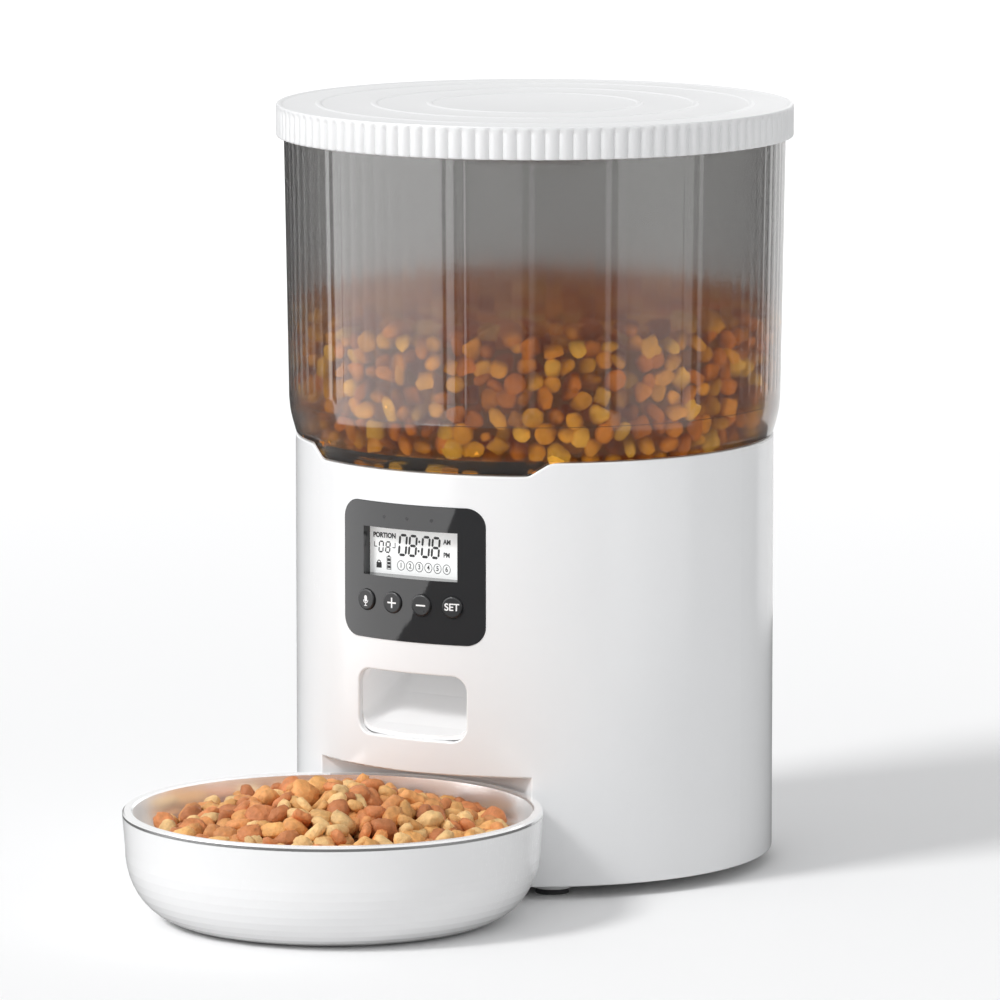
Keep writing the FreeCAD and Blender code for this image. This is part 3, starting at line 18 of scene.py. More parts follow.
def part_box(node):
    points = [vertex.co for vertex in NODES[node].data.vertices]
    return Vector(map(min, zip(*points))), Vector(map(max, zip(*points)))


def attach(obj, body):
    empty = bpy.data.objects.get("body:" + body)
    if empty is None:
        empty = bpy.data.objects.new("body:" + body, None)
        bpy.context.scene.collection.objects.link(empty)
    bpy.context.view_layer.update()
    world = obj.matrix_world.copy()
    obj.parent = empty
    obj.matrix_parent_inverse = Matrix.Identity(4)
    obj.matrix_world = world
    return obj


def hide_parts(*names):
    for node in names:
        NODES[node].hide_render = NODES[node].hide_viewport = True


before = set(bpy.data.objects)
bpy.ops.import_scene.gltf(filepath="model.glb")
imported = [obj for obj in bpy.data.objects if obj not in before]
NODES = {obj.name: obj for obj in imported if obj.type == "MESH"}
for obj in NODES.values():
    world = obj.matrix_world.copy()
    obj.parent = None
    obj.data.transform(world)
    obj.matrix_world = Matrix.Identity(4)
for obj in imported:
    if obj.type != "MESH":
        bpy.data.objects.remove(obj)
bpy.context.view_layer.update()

MM = 0.001

# %% [markdown]
# ## Where things are
#
# Almost every part of the feeder is turned about one upright line, and the bowl about a
# second one in front of it. Both lines are read from the boxes of the lid and the tray,
# so the shapes below follow the machine if its sizes change.

# %% Measure the two upright lines
LID_LO, LID_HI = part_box("lid")
BOWL_LO, BOWL_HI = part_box("steel_bowl")
LCD_FRONT_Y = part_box("lcd_panel")[0].y / MM
SKIRT_HIGH = 12.6
LID_OVERHANG = 7.3
AXIS_Y = (LID_LO.y + LID_HI.y) / 2.0 / MM
BOWL_Y = (BOWL_LO.y + BOWL_HI.y) / 2.0 / MM
LID_R = (LID_HI.x - LID_LO.x) / 2.0 / MM
LID_Z0 = LID_HI.z / MM - SKIRT_HIGH
LID_Z1 = LID_HI.z / MM
BODY_R = LID_R - LID_OVERHANG
print("feeder axis y", round(AXIS_Y, 2), "bowl axis y", round(BOWL_Y, 2), "lid radius", round(LID_R, 2))

# %% [markdown]
# ## The camera and the light
#
# A long lens from three metres away keeps the sides of the feeder almost upright. The
# camera stands to the right of the front, a little above the lid. White plastic needs
# a bright, even room to read as white, and something darker or brighter at the sides to
# show its roundness, so the room is a plain pale world, one broad sun-like key from the
# left and upright soft panels that the glossy hopper mirrors as bands. Only mirror rays
# meet the panels, so they stand close and the white body stays evenly lit. The left one
# is tipped a little, which draws a slanting edge of light over the dark panel.

# %% Stand the camera
CAMERA_TURN = math.radians(31.36)
CAMERA_HEADING = math.radians(31.61)
CAMERA_PITCH = math.radians(8.22)
CAMERA_AWAY = 3.0839
CAMERA_HEIGHT = 0.5857
CAMERA_LENS = 288.6

camera_data = bpy.data.cameras.new("studio_camera")
camera_data.lens = CAMERA_LENS
camera_data.sensor_width = 36.0
camera_data.clip_end = 60.0
camera = bpy.data.objects.new("studio_camera", camera_data)
bpy.context.scene.collection.objects.link(camera)
camera.location = (
    CAMERA_AWAY * math.sin(CAMERA_TURN),
    AXIS_Y * MM - CAMERA_AWAY * math.cos(CAMERA_TURN),
    CAMERA_HEIGHT,
)
looking = Vector((
    -math.sin(CAMERA_HEADING) * math.cos(CAMERA_PITCH),
    math.cos(CAMERA_HEADING) * math.cos(CAMERA_PITCH),
    -math.sin(CAMERA_PITCH),
))
camera.rotation_euler = looking.to_track_quat("-Z", "Y").to_euler()
bpy.context.scene.camera = camera
bpy.context.scene.view_settings.view_transform = "Standard"
print("camera at", [round(value, 3) for value in camera.location])


# %% Hang the soft panels and the key
MIDDLE_Z = 0.15
MIDDLE = Vector((0.0, AXIS_Y * MM, MIDDLE_Z))
PANEL_AWAY = 0.85


def toward(turn_deg, rise_deg, away):
    """A point away from the feeder's middle: turn is counted from the camera's side,
    positive to the camera's right, and rise is the height angle above the floor."""
    turn = CAMERA_TURN + math.radians(turn_deg)
    rise = math.radians(rise_deg)
    flat = away * math.cos(rise)
    return Vector((
        flat * math.sin(turn),
        AXIS_Y * MM - flat * math.cos(turn),
        MIDDLE_Z + away * math.sin(rise),
    ))


def aim_at_feeder(lamp, place):
    """Puts a lamp at a place and turns its face to the feeder's middle."""
    lamp.location = place
    lamp.rotation_euler = (MIDDLE - place).to_track_quat("-Z", "Y").to_euler()


def mirror_panel(name, turn_deg, width, height, radiance, slide=0.0, roll_deg=0.0, low=-0.04):
    """An upright panel that only glossy surfaces see. Slide moves it along its own width,
    roll tips its edges and low is the height of its lower edge. Its watts are pi x area x
    the brightness that it shows."""
    data = bpy.data.lights.new(name, "AREA")
    data.shape = "RECTANGLE"
    data.size = width
    data.size_y = height
    data.energy = math.pi * width * height * radiance
    lamp = bpy.data.objects.new(name, data)
    bpy.context.scene.collection.objects.link(lamp)
    place = toward(turn_deg, 0.0, PANEL_AWAY)
    place.z = height / 2.0 + low
    middle = Vector((0.0, AXIS_Y * MM, place.z))
    facing = (middle - place).to_track_quat("-Z", "Y")
    lamp.location = place + facing @ Vector((slide, 0.0, 0.0))
    lamp.rotation_euler = (facing @ Quaternion((0.0, 0.0, 1.0), math.radians(roll_deg))).to_euler()
    lamp.visible_camera = False
    lamp.visible_diffuse = False
    lamp.visible_transmission = False
    return lamp


mirror_panel("left_panel", -66.0, width=1.15, height=1.3, radiance=2.3, slide=-0.146, roll_deg=5.76)
mirror_panel("front_strip", -17.0, width=0.42, height=0.8, radiance=0.55, low=0.045)
mirror_panel("right_panel", 55.0, width=0.65, height=1.3, radiance=1.0)
mirror_panel("right_edge_strip", 152.0, width=0.62, height=1.0, radiance=0.8)

key_data = bpy.data.lights.new("key", "SUN")
key_data.energy = 1.58
key_data.angle = math.radians(14.0)
key = bpy.data.objects.new("key", key_data)
bpy.context.scene.collection.objects.link(key)
aim_at_feeder(key, toward(-55.0, 42.0, 3.0))

# %% [markdown]
# ### The room
#
# The room is a plain pale world, a little brighter on the left. Mirror rays find it dark
# below the horizon and bright above, which keeps the upright hopper wall clear to look
# through and lets the open bowl shine. The camera itself sees plain white beyond the floor.

# %% Paint the pale world
world = bpy.data.worlds.new("pale_room")
bpy.context.scene.world = world
world.use_nodes = True
air = world.node_tree
air.nodes.clear()


def room_light(strength, colour=(1.0, 1.0, 1.0)):
    """One light from all round; its strength is a number or the output of another node."""
    made = air.nodes.new("ShaderNodeBackground")
    made.inputs["Color"].default_value = (*colour, 1.0)
    if isinstance(strength, float):
        made.inputs["Strength"].default_value = strength
    else:
        air.links.new(strength, made.inputs["Strength"])
    return made.outputs[0]


def room_gradient(direction, low, high, at_low, at_high):
    """Strength rises from low to high as the way looked goes from one share of the
    direction to another: share = the way looked . direction."""
    way = air.nodes.new("ShaderNodeTexCoord")
    share = air.nodes.new("ShaderNodeVectorMath")
    share.operation = "DOT_PRODUCT"
    share.inputs[1].default_value = direction
    ramp = air.nodes.new("ShaderNodeMapRange")
    ramp.interpolation_type = "SMOOTHSTEP"
    for label, value in (("From Min", at_low), ("From Max", at_high), ("To Min", low), ("To Max", high)):
        ramp.inputs[label].default_value = value
    air.links.new(way.outputs["Generated"], share.inputs[0])
    air.links.new(share.outputs["Value"], ramp.inputs["Value"])
    return ramp.outputs["Result"]


def choose(ray, first, second):
    """One light for rays of a kind, another for the rest."""
    made = air.nodes.new("ShaderNodeMixShader")
    air.links.new(ray, made.inputs["Fac"])
    air.links.new(second, made.inputs[1])
    air.links.new(first, made.inputs[2])
    return made.outputs[0]


rays = air.nodes.new("ShaderNodeLightPath")
to_left = toward(-90.0, 0.0, 1.0) - MIDDLE
side_light = room_gradient(to_left, low=0.56, high=0.84, at_low=-0.7, at_high=0.7)
spread = room_light(side_light, (0.985, 0.99, 1.0))
mirrored = room_light(room_gradient((0.0, 0.0, 1.0), low=0.06, high=0.95, at_low=-0.02, at_high=0.16))
beyond = room_light(1.0)
sky = air.nodes.new("ShaderNodeOutputWorld")
inner = choose(rays.outputs["Is Glossy Ray"], mirrored, spread)
air.links.new(choose(rays.outputs["Is Camera Ray"], beyond, inner), sky.inputs["Surface"])
print("world nodes", len(air.nodes))


# %% [markdown]
# ## Effects that several finishes share
#
# No moulded surface is one flat colour: the pigment drifts a little, the tool leaves a
# fine grain, and handling leaves faint scuffs. Each of these is built once as a node
# group with named inputs, and every material places it with its own values. A group
# gives out only colours, masks and heights; the shader stays in the material.

# %% Helpers for node groups
def new_group(name, inputs, outputs):
    """A shader node group with named sockets: inputs are (name, kind, first value)."""
    tree = bpy.data.node_groups.new(name, "ShaderNodeTree")
    for label, kind, value in inputs:
        socket = tree.interface.new_socket(label, in_out="INPUT", socket_type=kind)
        socket.default_value = value
    for label, kind in outputs:
        tree.interface.new_socket(label, in_out="OUTPUT", socket_type=kind)
    return tree, tree.nodes.new("NodeGroupInput"), tree.nodes.new("NodeGroupOutput")


def node(tree, kind, **settings):
    """A new node, with plain values written on its own sockets or settings."""
    made = tree.nodes.new(kind)
    for label, value in settings.items():
        if label in made.inputs:
            made.inputs[label].default_value = value
        else:
            setattr(made, label, value)
    return made


def sum_of(tree, operation, first, second, third=None):
    """One Math node: each value is a number or the output of another node."""
    made = tree.nodes.new("ShaderNodeMath")
    made.operation = operation
    for index, value in enumerate((first, second, third)):
        if value is None:
            continue
        if isinstance(value, (int, float)):
            made.inputs[index].default_value = value
        else:
            tree.links.new(value, made.inputs[index])
    return made.outputs[0]


FLOAT = "NodeSocketFloat"
COLOUR = "NodeSocketColor"


# %% Pigment drift
def build_pigment_drift():
    """Colour = the base colour made lighter or darker by a broad and a finer noise;
    Roughness = the base roughness moved the same way by its own noise."""
    tree, given, out = new_group(
        "pigment_drift",
        [
            ("Colour", COLOUR, (0.8, 0.8, 0.8, 1.0)),
            ("Drift", FLOAT, 0.04),
            ("Scale", FLOAT, 30.0),
            ("Roughness", FLOAT, 0.3),
            ("Roughness Drift", FLOAT, 0.05),
        ],
        [("Colour", COLOUR), ("Roughness", FLOAT)],
    )
    place = node(tree, "ShaderNodeTexCoord")
    broad = node(tree, "ShaderNodeTexNoise", Detail=4.0)
    fine = node(tree, "ShaderNodeTexNoise", Detail=2.0)
    tree.links.new(place.outputs["Object"], broad.inputs["Vector"])
    tree.links.new(place.outputs["Object"], fine.inputs["Vector"])
    tree.links.new(given.outputs["Scale"], broad.inputs["Scale"])
    tree.links.new(sum_of(tree, "MULTIPLY", given.outputs["Scale"], 9.0), fine.inputs["Scale"])
    both = sum_of(tree, "ADD", broad.outputs["Fac"], fine.outputs["Fac"])
    swing = sum_of(tree, "SUBTRACT", both, 1.0)
    value = sum_of(tree, "MULTIPLY_ADD", swing, given.outputs["Drift"], 1.0)
    tint = node(tree, "ShaderNodeHueSaturation")
    tree.links.new(given.outputs["Colour"], tint.inputs["Color"])
    tree.links.new(value, tint.inputs["Value"])
    tree.links.new(tint.outputs["Color"], out.inputs["Colour"])
    rough = sum_of(tree, "MULTIPLY_ADD", swing, given.outputs["Roughness Drift"], given.outputs["Roughness"])
    tree.links.new(rough, out.inputs["Roughness"])
    return tree


PIGMENT_DRIFT = build_pigment_drift()
print(PIGMENT_DRIFT.name, [item.name for item in PIGMENT_DRIFT.interface.items_tree])


# %% Tool grain
def build_tool_grain():
    """Height = a fine noise like a sparked mould, plus a slower waviness of the wall."""
    tree, given, out = new_group(
        "tool_grain",
        [("Scale", FLOAT, 900.0), ("Grain", FLOAT, 1.0), ("Wave", FLOAT, 0.3)],
        [("Height", FLOAT)],
    )
    place = node(tree, "ShaderNodeTexCoord")
    grain = node(tree, "ShaderNodeTexNoise", Detail=3.0)
    wave = node(tree, "ShaderNodeTexNoise", Scale=22.0, Detail=1.0)
    tree.links.new(place.outputs["Object"], grain.inputs["Vector"])
    tree.links.new(place.outputs["Object"], wave.inputs["Vector"])
    tree.links.new(given.outputs["Scale"], grain.inputs["Scale"])
    fine = sum_of(tree, "MULTIPLY", grain.outputs["Fac"], given.outputs["Grain"])
    total = sum_of(tree, "MULTIPLY_ADD", wave.outputs["Fac"], given.outputs["Wave"], fine)
    tree.links.new(total, out.inputs["Height"])
    return tree


TOOL_GRAIN = build_tool_grain()
print(TOOL_GRAIN.name, len(TOOL_GRAIN.nodes), "nodes")


# %% Handling marks
def build_handling_marks():
    """Mask = thin hair scratches, where a noise drawn out along one way crosses its
    middle value, shown only inside the larger patches that hands and cloths reach."""
    tree, given, out = new_group(
        "handling_marks",
        [("Scale", FLOAT, 60.0), ("Amount", FLOAT, 0.5)],
        [("Mask", FLOAT)],
    )
    place = node(tree, "ShaderNodeTexCoord")
    drawn = node(tree, "ShaderNodeMapping")
    drawn.inputs["Scale"].default_value = (1.0, 1.0, 0.06)
    drawn.inputs["Rotation"].default_value = (0.5, 0.9, 0.2)
    lines = node(tree, "ShaderNodeTexNoise", Detail=2.0)
    patch = node(tree, "ShaderNodeTexNoise", Scale=14.0, Detail=2.0)
    tree.links.new(place.outputs["Object"], drawn.inputs["Vector"])
    tree.links.new(drawn.outputs["Vector"], lines.inputs["Vector"])
    tree.links.new(place.outputs["Object"], patch.inputs["Vector"])
    tree.links.new(sum_of(tree, "MULTIPLY", given.outputs["Scale"], 12.0), lines.inputs["Scale"])
    middle = sum_of(tree, "ABSOLUTE", sum_of(tree, "SUBTRACT", lines.outputs["Fac"], 0.5), 0.0)
    hair = node(tree, "ShaderNodeMapRange")
    hair.inputs["From Min"].default_value = 0.012
    hair.inputs["From Max"].default_value = 0.0
    tree.links.new(middle, hair.inputs["Value"])
    area = node(tree, "ShaderNodeMapRange")
    area.inputs["From Min"].default_value = 0.5
    area.inputs["From Max"].default_value = 0.68
    tree.links.new(patch.outputs["Fac"], area.inputs["Value"])
    shown = sum_of(tree, "MULTIPLY", hair.outputs["Result"], area.outputs["Result"])
    tree.links.new(sum_of(tree, "MULTIPLY", shown, given.outputs["Amount"]), out.inputs["Mask"])
    return tree


HANDLING_MARKS = build_handling_marks()
print(HANDLING_MARKS.name, len(HANDLING_MARKS.nodes), "nodes")


# %% Turning lines
def build_turning_lines():
    """Height = rings about an upright axis: a one-way noise of the distance from it and
    of the height, as fine as the grit that polished the metal. Roughness follows it."""
    tree, given, out = new_group(
        "turning_lines",
        [
            ("Axis Y", FLOAT, 0.0),
            ("Scale", FLOAT, 2200.0),
            ("Roughness", FLOAT, 0.25),
            ("Roughness Drift", FLOAT, 0.12),
        ],
        [("Height", FLOAT), ("Roughness", FLOAT)],
    )
    place = node(tree, "ShaderNodeTexCoord")
    split = node(tree, "ShaderNodeSeparateXYZ")
    tree.links.new(place.outputs["Object"], split.inputs[0])
    across = sum_of(tree, "POWER", split.outputs["X"], 2.0)
    along = sum_of(tree, "POWER", sum_of(tree, "SUBTRACT", split.outputs["Y"], given.outputs["Axis Y"]), 2.0)
    reach = sum_of(tree, "SQRT", sum_of(tree, "ADD", across, along), 0.0)
    line = sum_of(tree, "ADD", reach, sum_of(tree, "MULTIPLY", split.outputs["Z"], 1.3))
    grit = node(tree, "ShaderNodeTexNoise", Detail=3.0)
    grit.noise_dimensions = "1D"
    tree.links.new(line, grit.inputs["W"])
    tree.links.new(given.outputs["Scale"], grit.inputs["Scale"])
    tree.links.new(grit.outputs["Fac"], out.inputs["Height"])
    swing = sum_of(tree, "SUBTRACT", grit.outputs["Fac"], 0.5)
    rough = sum_of(tree, "MULTIPLY_ADD", swing, given.outputs["Roughness Drift"], given.outputs["Roughness"])
    tree.links.new(rough, out.inputs["Roughness"])
    return tree


TURNING_LINES = build_turning_lines()
print("shared effects", [group.name for group in bpy.data.node_groups])


# %% [markdown]
# ## The finishes
#
# A finish is a Principled shader with the shared effects wired into its colour,
# roughness and bump. Values that are the same all over a surface, such as the coat and
# the index of refraction, sit on the shader itself.

# %% Helpers for materials
def start_material(name):
    """An empty node material with its Principled shader and output joined."""
    material = bpy.data.materials.new(name)
    material.use_nodes = True
    tree = material.node_tree
    tree.nodes.clear()
    shader = tree.nodes.new("ShaderNodeBsdfPrincipled")
    end = tree.nodes.new("ShaderNodeOutputMaterial")
    tree.links.new(shader.outputs["BSDF"], end.inputs["Surface"])
    return material, tree, shader


def place_group(tree, group, **values):
    """A shared effect placed in a material; underscores in the names stand for spaces."""
    made = tree.nodes.new("ShaderNodeGroup")
    made.node_tree = group
    for label, value in values.items():
        made.inputs[label.replace("_", " ")].default_value = value
    return made


def bump_from(tree, shader, height, distance, strength=1.0):
    """A Bump node from a height between 0 and 1, distance metres deep."""
    bump = tree.nodes.new("ShaderNodeBump")
    bump.inputs["Distance"].default_value = distance
    bump.inputs["Strength"].default_value = strength
    tree.links.new(height, bump.inputs["Height"])
    tree.links.new(bump.outputs["Normal"], shader.inputs["Normal"])


def moulded(name, colour, roughness, grain_um=6.0, scale=900.0, drift=0.03, marks=0.5, **plain):
    """A moulded plastic or rubber: drifting pigment, tool grain and hair scratches."""
    material, tree, shader = start_material(name)
    pigment = place_group(
        tree, PIGMENT_DRIFT, Colour=(*colour, 1.0), Drift=drift, Scale=26.0,
        Roughness=roughness, Roughness_Drift=roughness * 0.35,
    )
    grain = place_group(tree, TOOL_GRAIN, Scale=scale, Grain=1.0, Wave=0.5)
    scuffs = place_group(tree, HANDLING_MARKS, Scale=70.0, Amount=marks)
    tree.links.new(pigment.outputs["Colour"], shader.inputs["Base Color"])
    rough = sum_of(tree, "MULTIPLY_ADD", scuffs.outputs["Mask"], 0.25, pigment.outputs["Roughness"])
    tree.links.new(rough, shader.inputs["Roughness"])
    bump_from(tree, shader, grain.outputs["Height"], grain_um * 1e-6)
    for label, value in plain.items():
        shader.inputs[label.replace("_", " ")].default_value = value
    return material


def metal(name, colour, roughness, axis_y, scale, depth_um, **plain):
    """A turned or drawn metal: its colour drifts a little, its bump runs in rings."""
    material, tree, shader = start_material(name)
    pigment = place_group(
        tree, PIGMENT_DRIFT, Colour=(*colour, 1.0), Drift=0.06, Scale=40.0,
        Roughness=roughness, Roughness_Drift=roughness * 0.3,
    )
    rings = place_group(
        tree, TURNING_LINES, Axis_Y=axis_y, Scale=scale, Roughness=roughness,
        Roughness_Drift=roughness * 0.6,
    )
    tree.links.new(pigment.outputs["Colour"], shader.inputs["Base Color"])
    tree.links.new(rings.outputs["Roughness"], shader.inputs["Roughness"])
    bump_from(tree, shader, rings.outputs["Height"], depth_um * 1e-6)
    shader.inputs["Metallic"].default_value = 1.0
    for label, value in plain.items():
        shader.inputs[label.replace("_", " ")].default_value = value
    return material


# %% Mix the plastics and metals
BOWL_AXIS_M = BOWL_Y * MM
WHITE_GLOSS = moulded("white_gloss", (0.86, 0.865, 0.87), 0.17, 3.0, 1400.0, 0.012, 0.5, IOR=1.5)
# The chute's white also gives out a little light of its own: a painted glow that brightens its shaded inside.
CHUTE_WHITE_WITH_GLOW = moulded(
    "chute_white_painted_glow", (0.8, 0.8, 0.802), 0.24, 4.0, 1400.0, 0.015, 0.4,
    Emission_Color=(0.86, 0.86, 0.86, 1.0), Emission_Strength=0.15,
)
WHITE_LID = moulded("white_lid", (0.765, 0.768, 0.771), 0.34, 8.0, 1600.0, 0.014, 0.6, IOR=1.5)
WHITE_SATIN = moulded("white_satin", (0.78, 0.78, 0.775), 0.42, 10.0, 1300.0, 0.02, 0.4)
WHITE_BOWL = moulded("white_bowl", (0.86, 0.86, 0.862), 0.2, 3.0, 1400.0, 0.012, 0.6, IOR=1.5)
GREY_PLASTIC = moulded("grey_plastic", (0.30, 0.31, 0.32), 0.45, 12.0, 1200.0, 0.05)
GEAR_PLASTIC = moulded("gear_plastic", (0.83, 0.80, 0.70), 0.36, 6.0, 1500.0, 0.03)
DARK_RUBBER = moulded("dark_rubber", (0.045, 0.045, 0.048), 0.72, 25.0, 700.0, 0.12, 0.9)
BLACK_PLASTIC = moulded("black_plastic", (0.025, 0.025, 0.028), 0.35, 8.0, 1200.0, 0.1)
DARK_GLOSS = moulded("dark_gloss", (0.03, 0.0305, 0.032), 0.025, 1.2, 900.0, 0.02, 0.2)
DARK_BUTTON = moulded("dark_button", (0.02, 0.0205, 0.022), 0.3, 6.0, 1500.0, 0.07, 0.5)
SILICONE = moulded("silicone", (0.62, 0.63, 0.64), 0.55, 6.0, 900.0, 0.04, 0.2, Transmission_Weight=0.15)
SACHET = moulded("sachet", (0.82, 0.81, 0.77), 0.75, 60.0, 420.0, 0.06, 0.0)
LIGHT_PIPE = moulded("light_pipe", (0.01, 0.01, 0.012), 0.12, 2.0, 900.0, 0.05, 0.2)
CELL_SLEEVE = moulded("cell_sleeve", (0.10, 0.11, 0.13), 0.28, 4.0, 800.0, 0.12, 0.6)
STEEL = metal("steel", (0.60, 0.60, 0.62), 0.28, AXIS_Y * MM, 1900.0, 4.0)
MOTOR_STEEL = metal("motor_steel", (0.55, 0.56, 0.58), 0.34, AXIS_Y * MM, 900.0, 5.0)
CONTACT_METAL = metal("contact_metal", (0.86, 0.80, 0.62), 0.22, AXIS_Y * MM, 1400.0, 4.0)
# The bowl's steel gives out a little light of its own: a painted glow that brightens its inside.
BOWL_STEEL_WITH_GLOW = metal(
    "bowl_steel", (0.83, 0.83, 0.83), 0.2, BOWL_AXIS_M, 2600.0, 2.2,
    Emission_Color=(0.9, 0.9, 0.9, 1.0), Emission_Strength=0.12,
)
SPEAKER_FRAME = moulded("speaker_frame", (0.05, 0.05, 0.055), 0.55, 14.0, 600.0, 0.1)
print(len(bpy.data.materials), "finishes so far")


# %% [markdown]
# ### The smoked hopper wall
#
# The hopper is clear plastic with a smoke tint, moulded a little dull inside, so food
# shows through it as soft blurred shapes while its outside still mirrors the room. A
# real wall with an inner and an outer surface and a transmitting shader gives both. The
# tint of the shader is what one wall lets through.

# %% Mix the hopper wall
def smoked_wall():
    """Smoke-tinted clear plastic: a transmitting shader under a thin glossy coat."""
    material, tree, shader = start_material("smoked_clear")
    pigment = place_group(
        tree, PIGMENT_DRIFT, Colour=(0.43, 0.427, 0.42, 1.0), Drift=0.03, Scale=18.0,
        Roughness=0.19, Roughness_Drift=0.03,
    )
    grain = place_group(tree, TOOL_GRAIN, Scale=700.0, Grain=0.4, Wave=1.0)
    tree.links.new(pigment.outputs["Colour"], shader.inputs["Base Color"])
    tree.links.new(pigment.outputs["Roughness"], shader.inputs["Roughness"])
    bump_from(tree, shader, grain.outputs["Height"], 4e-6)
    shader.inputs["Transmission Weight"].default_value = 1.0
    shader.inputs["IOR"].default_value = 1.42
    shader.inputs["Coat Weight"].default_value = 0.8
    shader.inputs["Coat Roughness"].default_value = 0.04
    return material


SMOKED_CLEAR = smoked_wall()
print(SMOKED_CLEAR.name, len(SMOKED_CLEAR.node_tree.nodes), "nodes")


# %% [markdown]
# ### Food, display and circuit boards
#
# Baked food is matt and crumbly: each piece has its own colour, stored in the mesh with
# any painted shade, and a coarse noise breaks it up and dents it. The display is a grey reflective sheet with
# a
# slight grid, and the boards are green lacquer over copper tracks.

# %% Mix the food
def baked_food(name, crumb_mm, strength, glow=0.0):
    """Base colour = the stored tint, the piece's own colour with any painted shade, times a
    crumb noise, darker in pits. A painted glow stands for the light that a tinted wall
    spreads over food pressed against it."""
    material, tree, shader = start_material(name)
    tint = node(tree, "ShaderNodeAttribute", attribute_name="kibble_tint_and_shade")
    place = node(tree, "ShaderNodeTexCoord")
    crumb = node(tree, "ShaderNodeTexNoise", Scale=1000.0 / crumb_mm / 2.0, Detail=5.0, Roughness=0.65)
    pits = node(tree, "ShaderNodeTexVoronoi", Scale=1000.0 / crumb_mm / 1.6)
    tree.links.new(place.outputs["Object"], crumb.inputs["Vector"])
    tree.links.new(place.outputs["Object"], pits.inputs["Vector"])
    ramp = node(tree, "ShaderNodeMapRange")
    for label, value in (("From Min", 0.3), ("From Max", 0.75), ("To Min", 0.72), ("To Max", 1.2)):
        ramp.inputs[label].default_value = value
    tree.links.new(crumb.outputs["Fac"], ramp.inputs["Value"])
    shade = node(tree, "ShaderNodeHueSaturation", Saturation=1.0)
    tree.links.new(tint.outputs["Color"], shade.inputs["Color"])
    tree.links.new(ramp.outputs["Result"], shade.inputs["Value"])
    tree.links.new(shade.outputs["Color"], shader.inputs["Base Color"])
    if glow > 0.0:
        tree.links.new(shade.outputs["Color"], shader.inputs["Emission Color"])
        shader.inputs["Emission Strength"].default_value = glow
    height = sum_of(tree, "MULTIPLY_ADD", pits.outputs["Distance"], 0.5, crumb.outputs["Fac"])
    bump_from(tree, shader, height, 0.0006, strength)
    rough = sum_of(tree, "MULTIPLY_ADD", crumb.outputs["Fac"], -0.2, 0.72)
    tree.links.new(rough, shader.inputs["Roughness"])
    shader.inputs["Specular IOR Level"].default_value = 0.4
    return material


KIBBLE = baked_food("kibble", 1.7, 1.5)
KIBBLE_INSIDE = baked_food("kibble_behind_wall", 3.4, 0.6, 1.0)
print(KIBBLE.name, KIBBLE_INSIDE.name)


# %% Mix the display and the boards
def display_sheet():
    """A pale grey sheet: its colour drifts a little, it gives back a little light of its
    own as a lit display does, and a fine checker bump stands for the display's cells."""
    material, tree, shader = start_material("lcd_glass")
    pigment = place_group(
        tree, PIGMENT_DRIFT, Colour=(0.80, 0.81, 0.805, 1.0), Drift=0.03, Scale=40.0,
        Roughness=0.22, Roughness_Drift=0.04,
    )
    place = node(tree, "ShaderNodeTexCoord")
    cells = node(tree, "ShaderNodeTexChecker", Scale=3000.0)
    tree.links.new(place.outputs["Object"], cells.inputs["Vector"])
    tree.links.new(pigment.outputs["Colour"], shader.inputs["Base Color"])
    tree.links.new(pigment.outputs["Colour"], shader.inputs["Emission Color"])
    tree.links.new(pigment.outputs["Roughness"], shader.inputs["Roughness"])
    bump_from(tree, shader, cells.outputs["Fac"], 2e-6)
    shader.inputs["Emission Strength"].default_value = 0.28
    return material


def circuit_lacquer():
    """Green lacquer, lighter where brick-like tracks run under it."""
    material, tree, shader = start_material("circuit_board")
    place = node(tree, "ShaderNodeTexCoord")
    turn = node(tree, "ShaderNodeMapping")
    turn.inputs["Rotation"].default_value = (math.radians(90.0), 0.0, 0.0)
    tracks = node(tree, "ShaderNodeTexBrick", Scale=260.0)
    tracks.inputs["Color1"].default_value = (0.012, 0.085, 0.03, 1.0)
    tracks.inputs["Color2"].default_value = (0.016, 0.11, 0.04, 1.0)
    tracks.inputs["Mortar"].default_value = (0.06, 0.2, 0.07, 1.0)
    tracks.inputs["Mortar Size"].default_value = 0.05
    tree.links.new(place.outputs["Object"], turn.inputs["Vector"])
    tree.links.new(turn.outputs["Vector"], tracks.inputs["Vector"])
    tree.links.new(tracks.outputs["Color"], shader.inputs["Base Color"])
    grain = place_group(tree, TOOL_GRAIN, Scale=800.0, Grain=1.0, Wave=0.2)
    bump_from(tree, shader, grain.outputs["Height"], 8e-6)
    shader.inputs["Roughness"].default_value = 0.32
    return material


LCD_GLASS = display_sheet()
CIRCUIT_BOARD = circuit_lacquer()
WHITE_INK = moulded("white_ink", (0.88, 0.88, 0.88), 0.5, 4.0, 2500.0, 0.04, 0.3)
DISPLAY_INK = moulded("display_ink", (0.012, 0.012, 0.014), 0.5, 2.0, 2500.0, 0.1, 0.0)
print("finishes", len(bpy.data.materials))
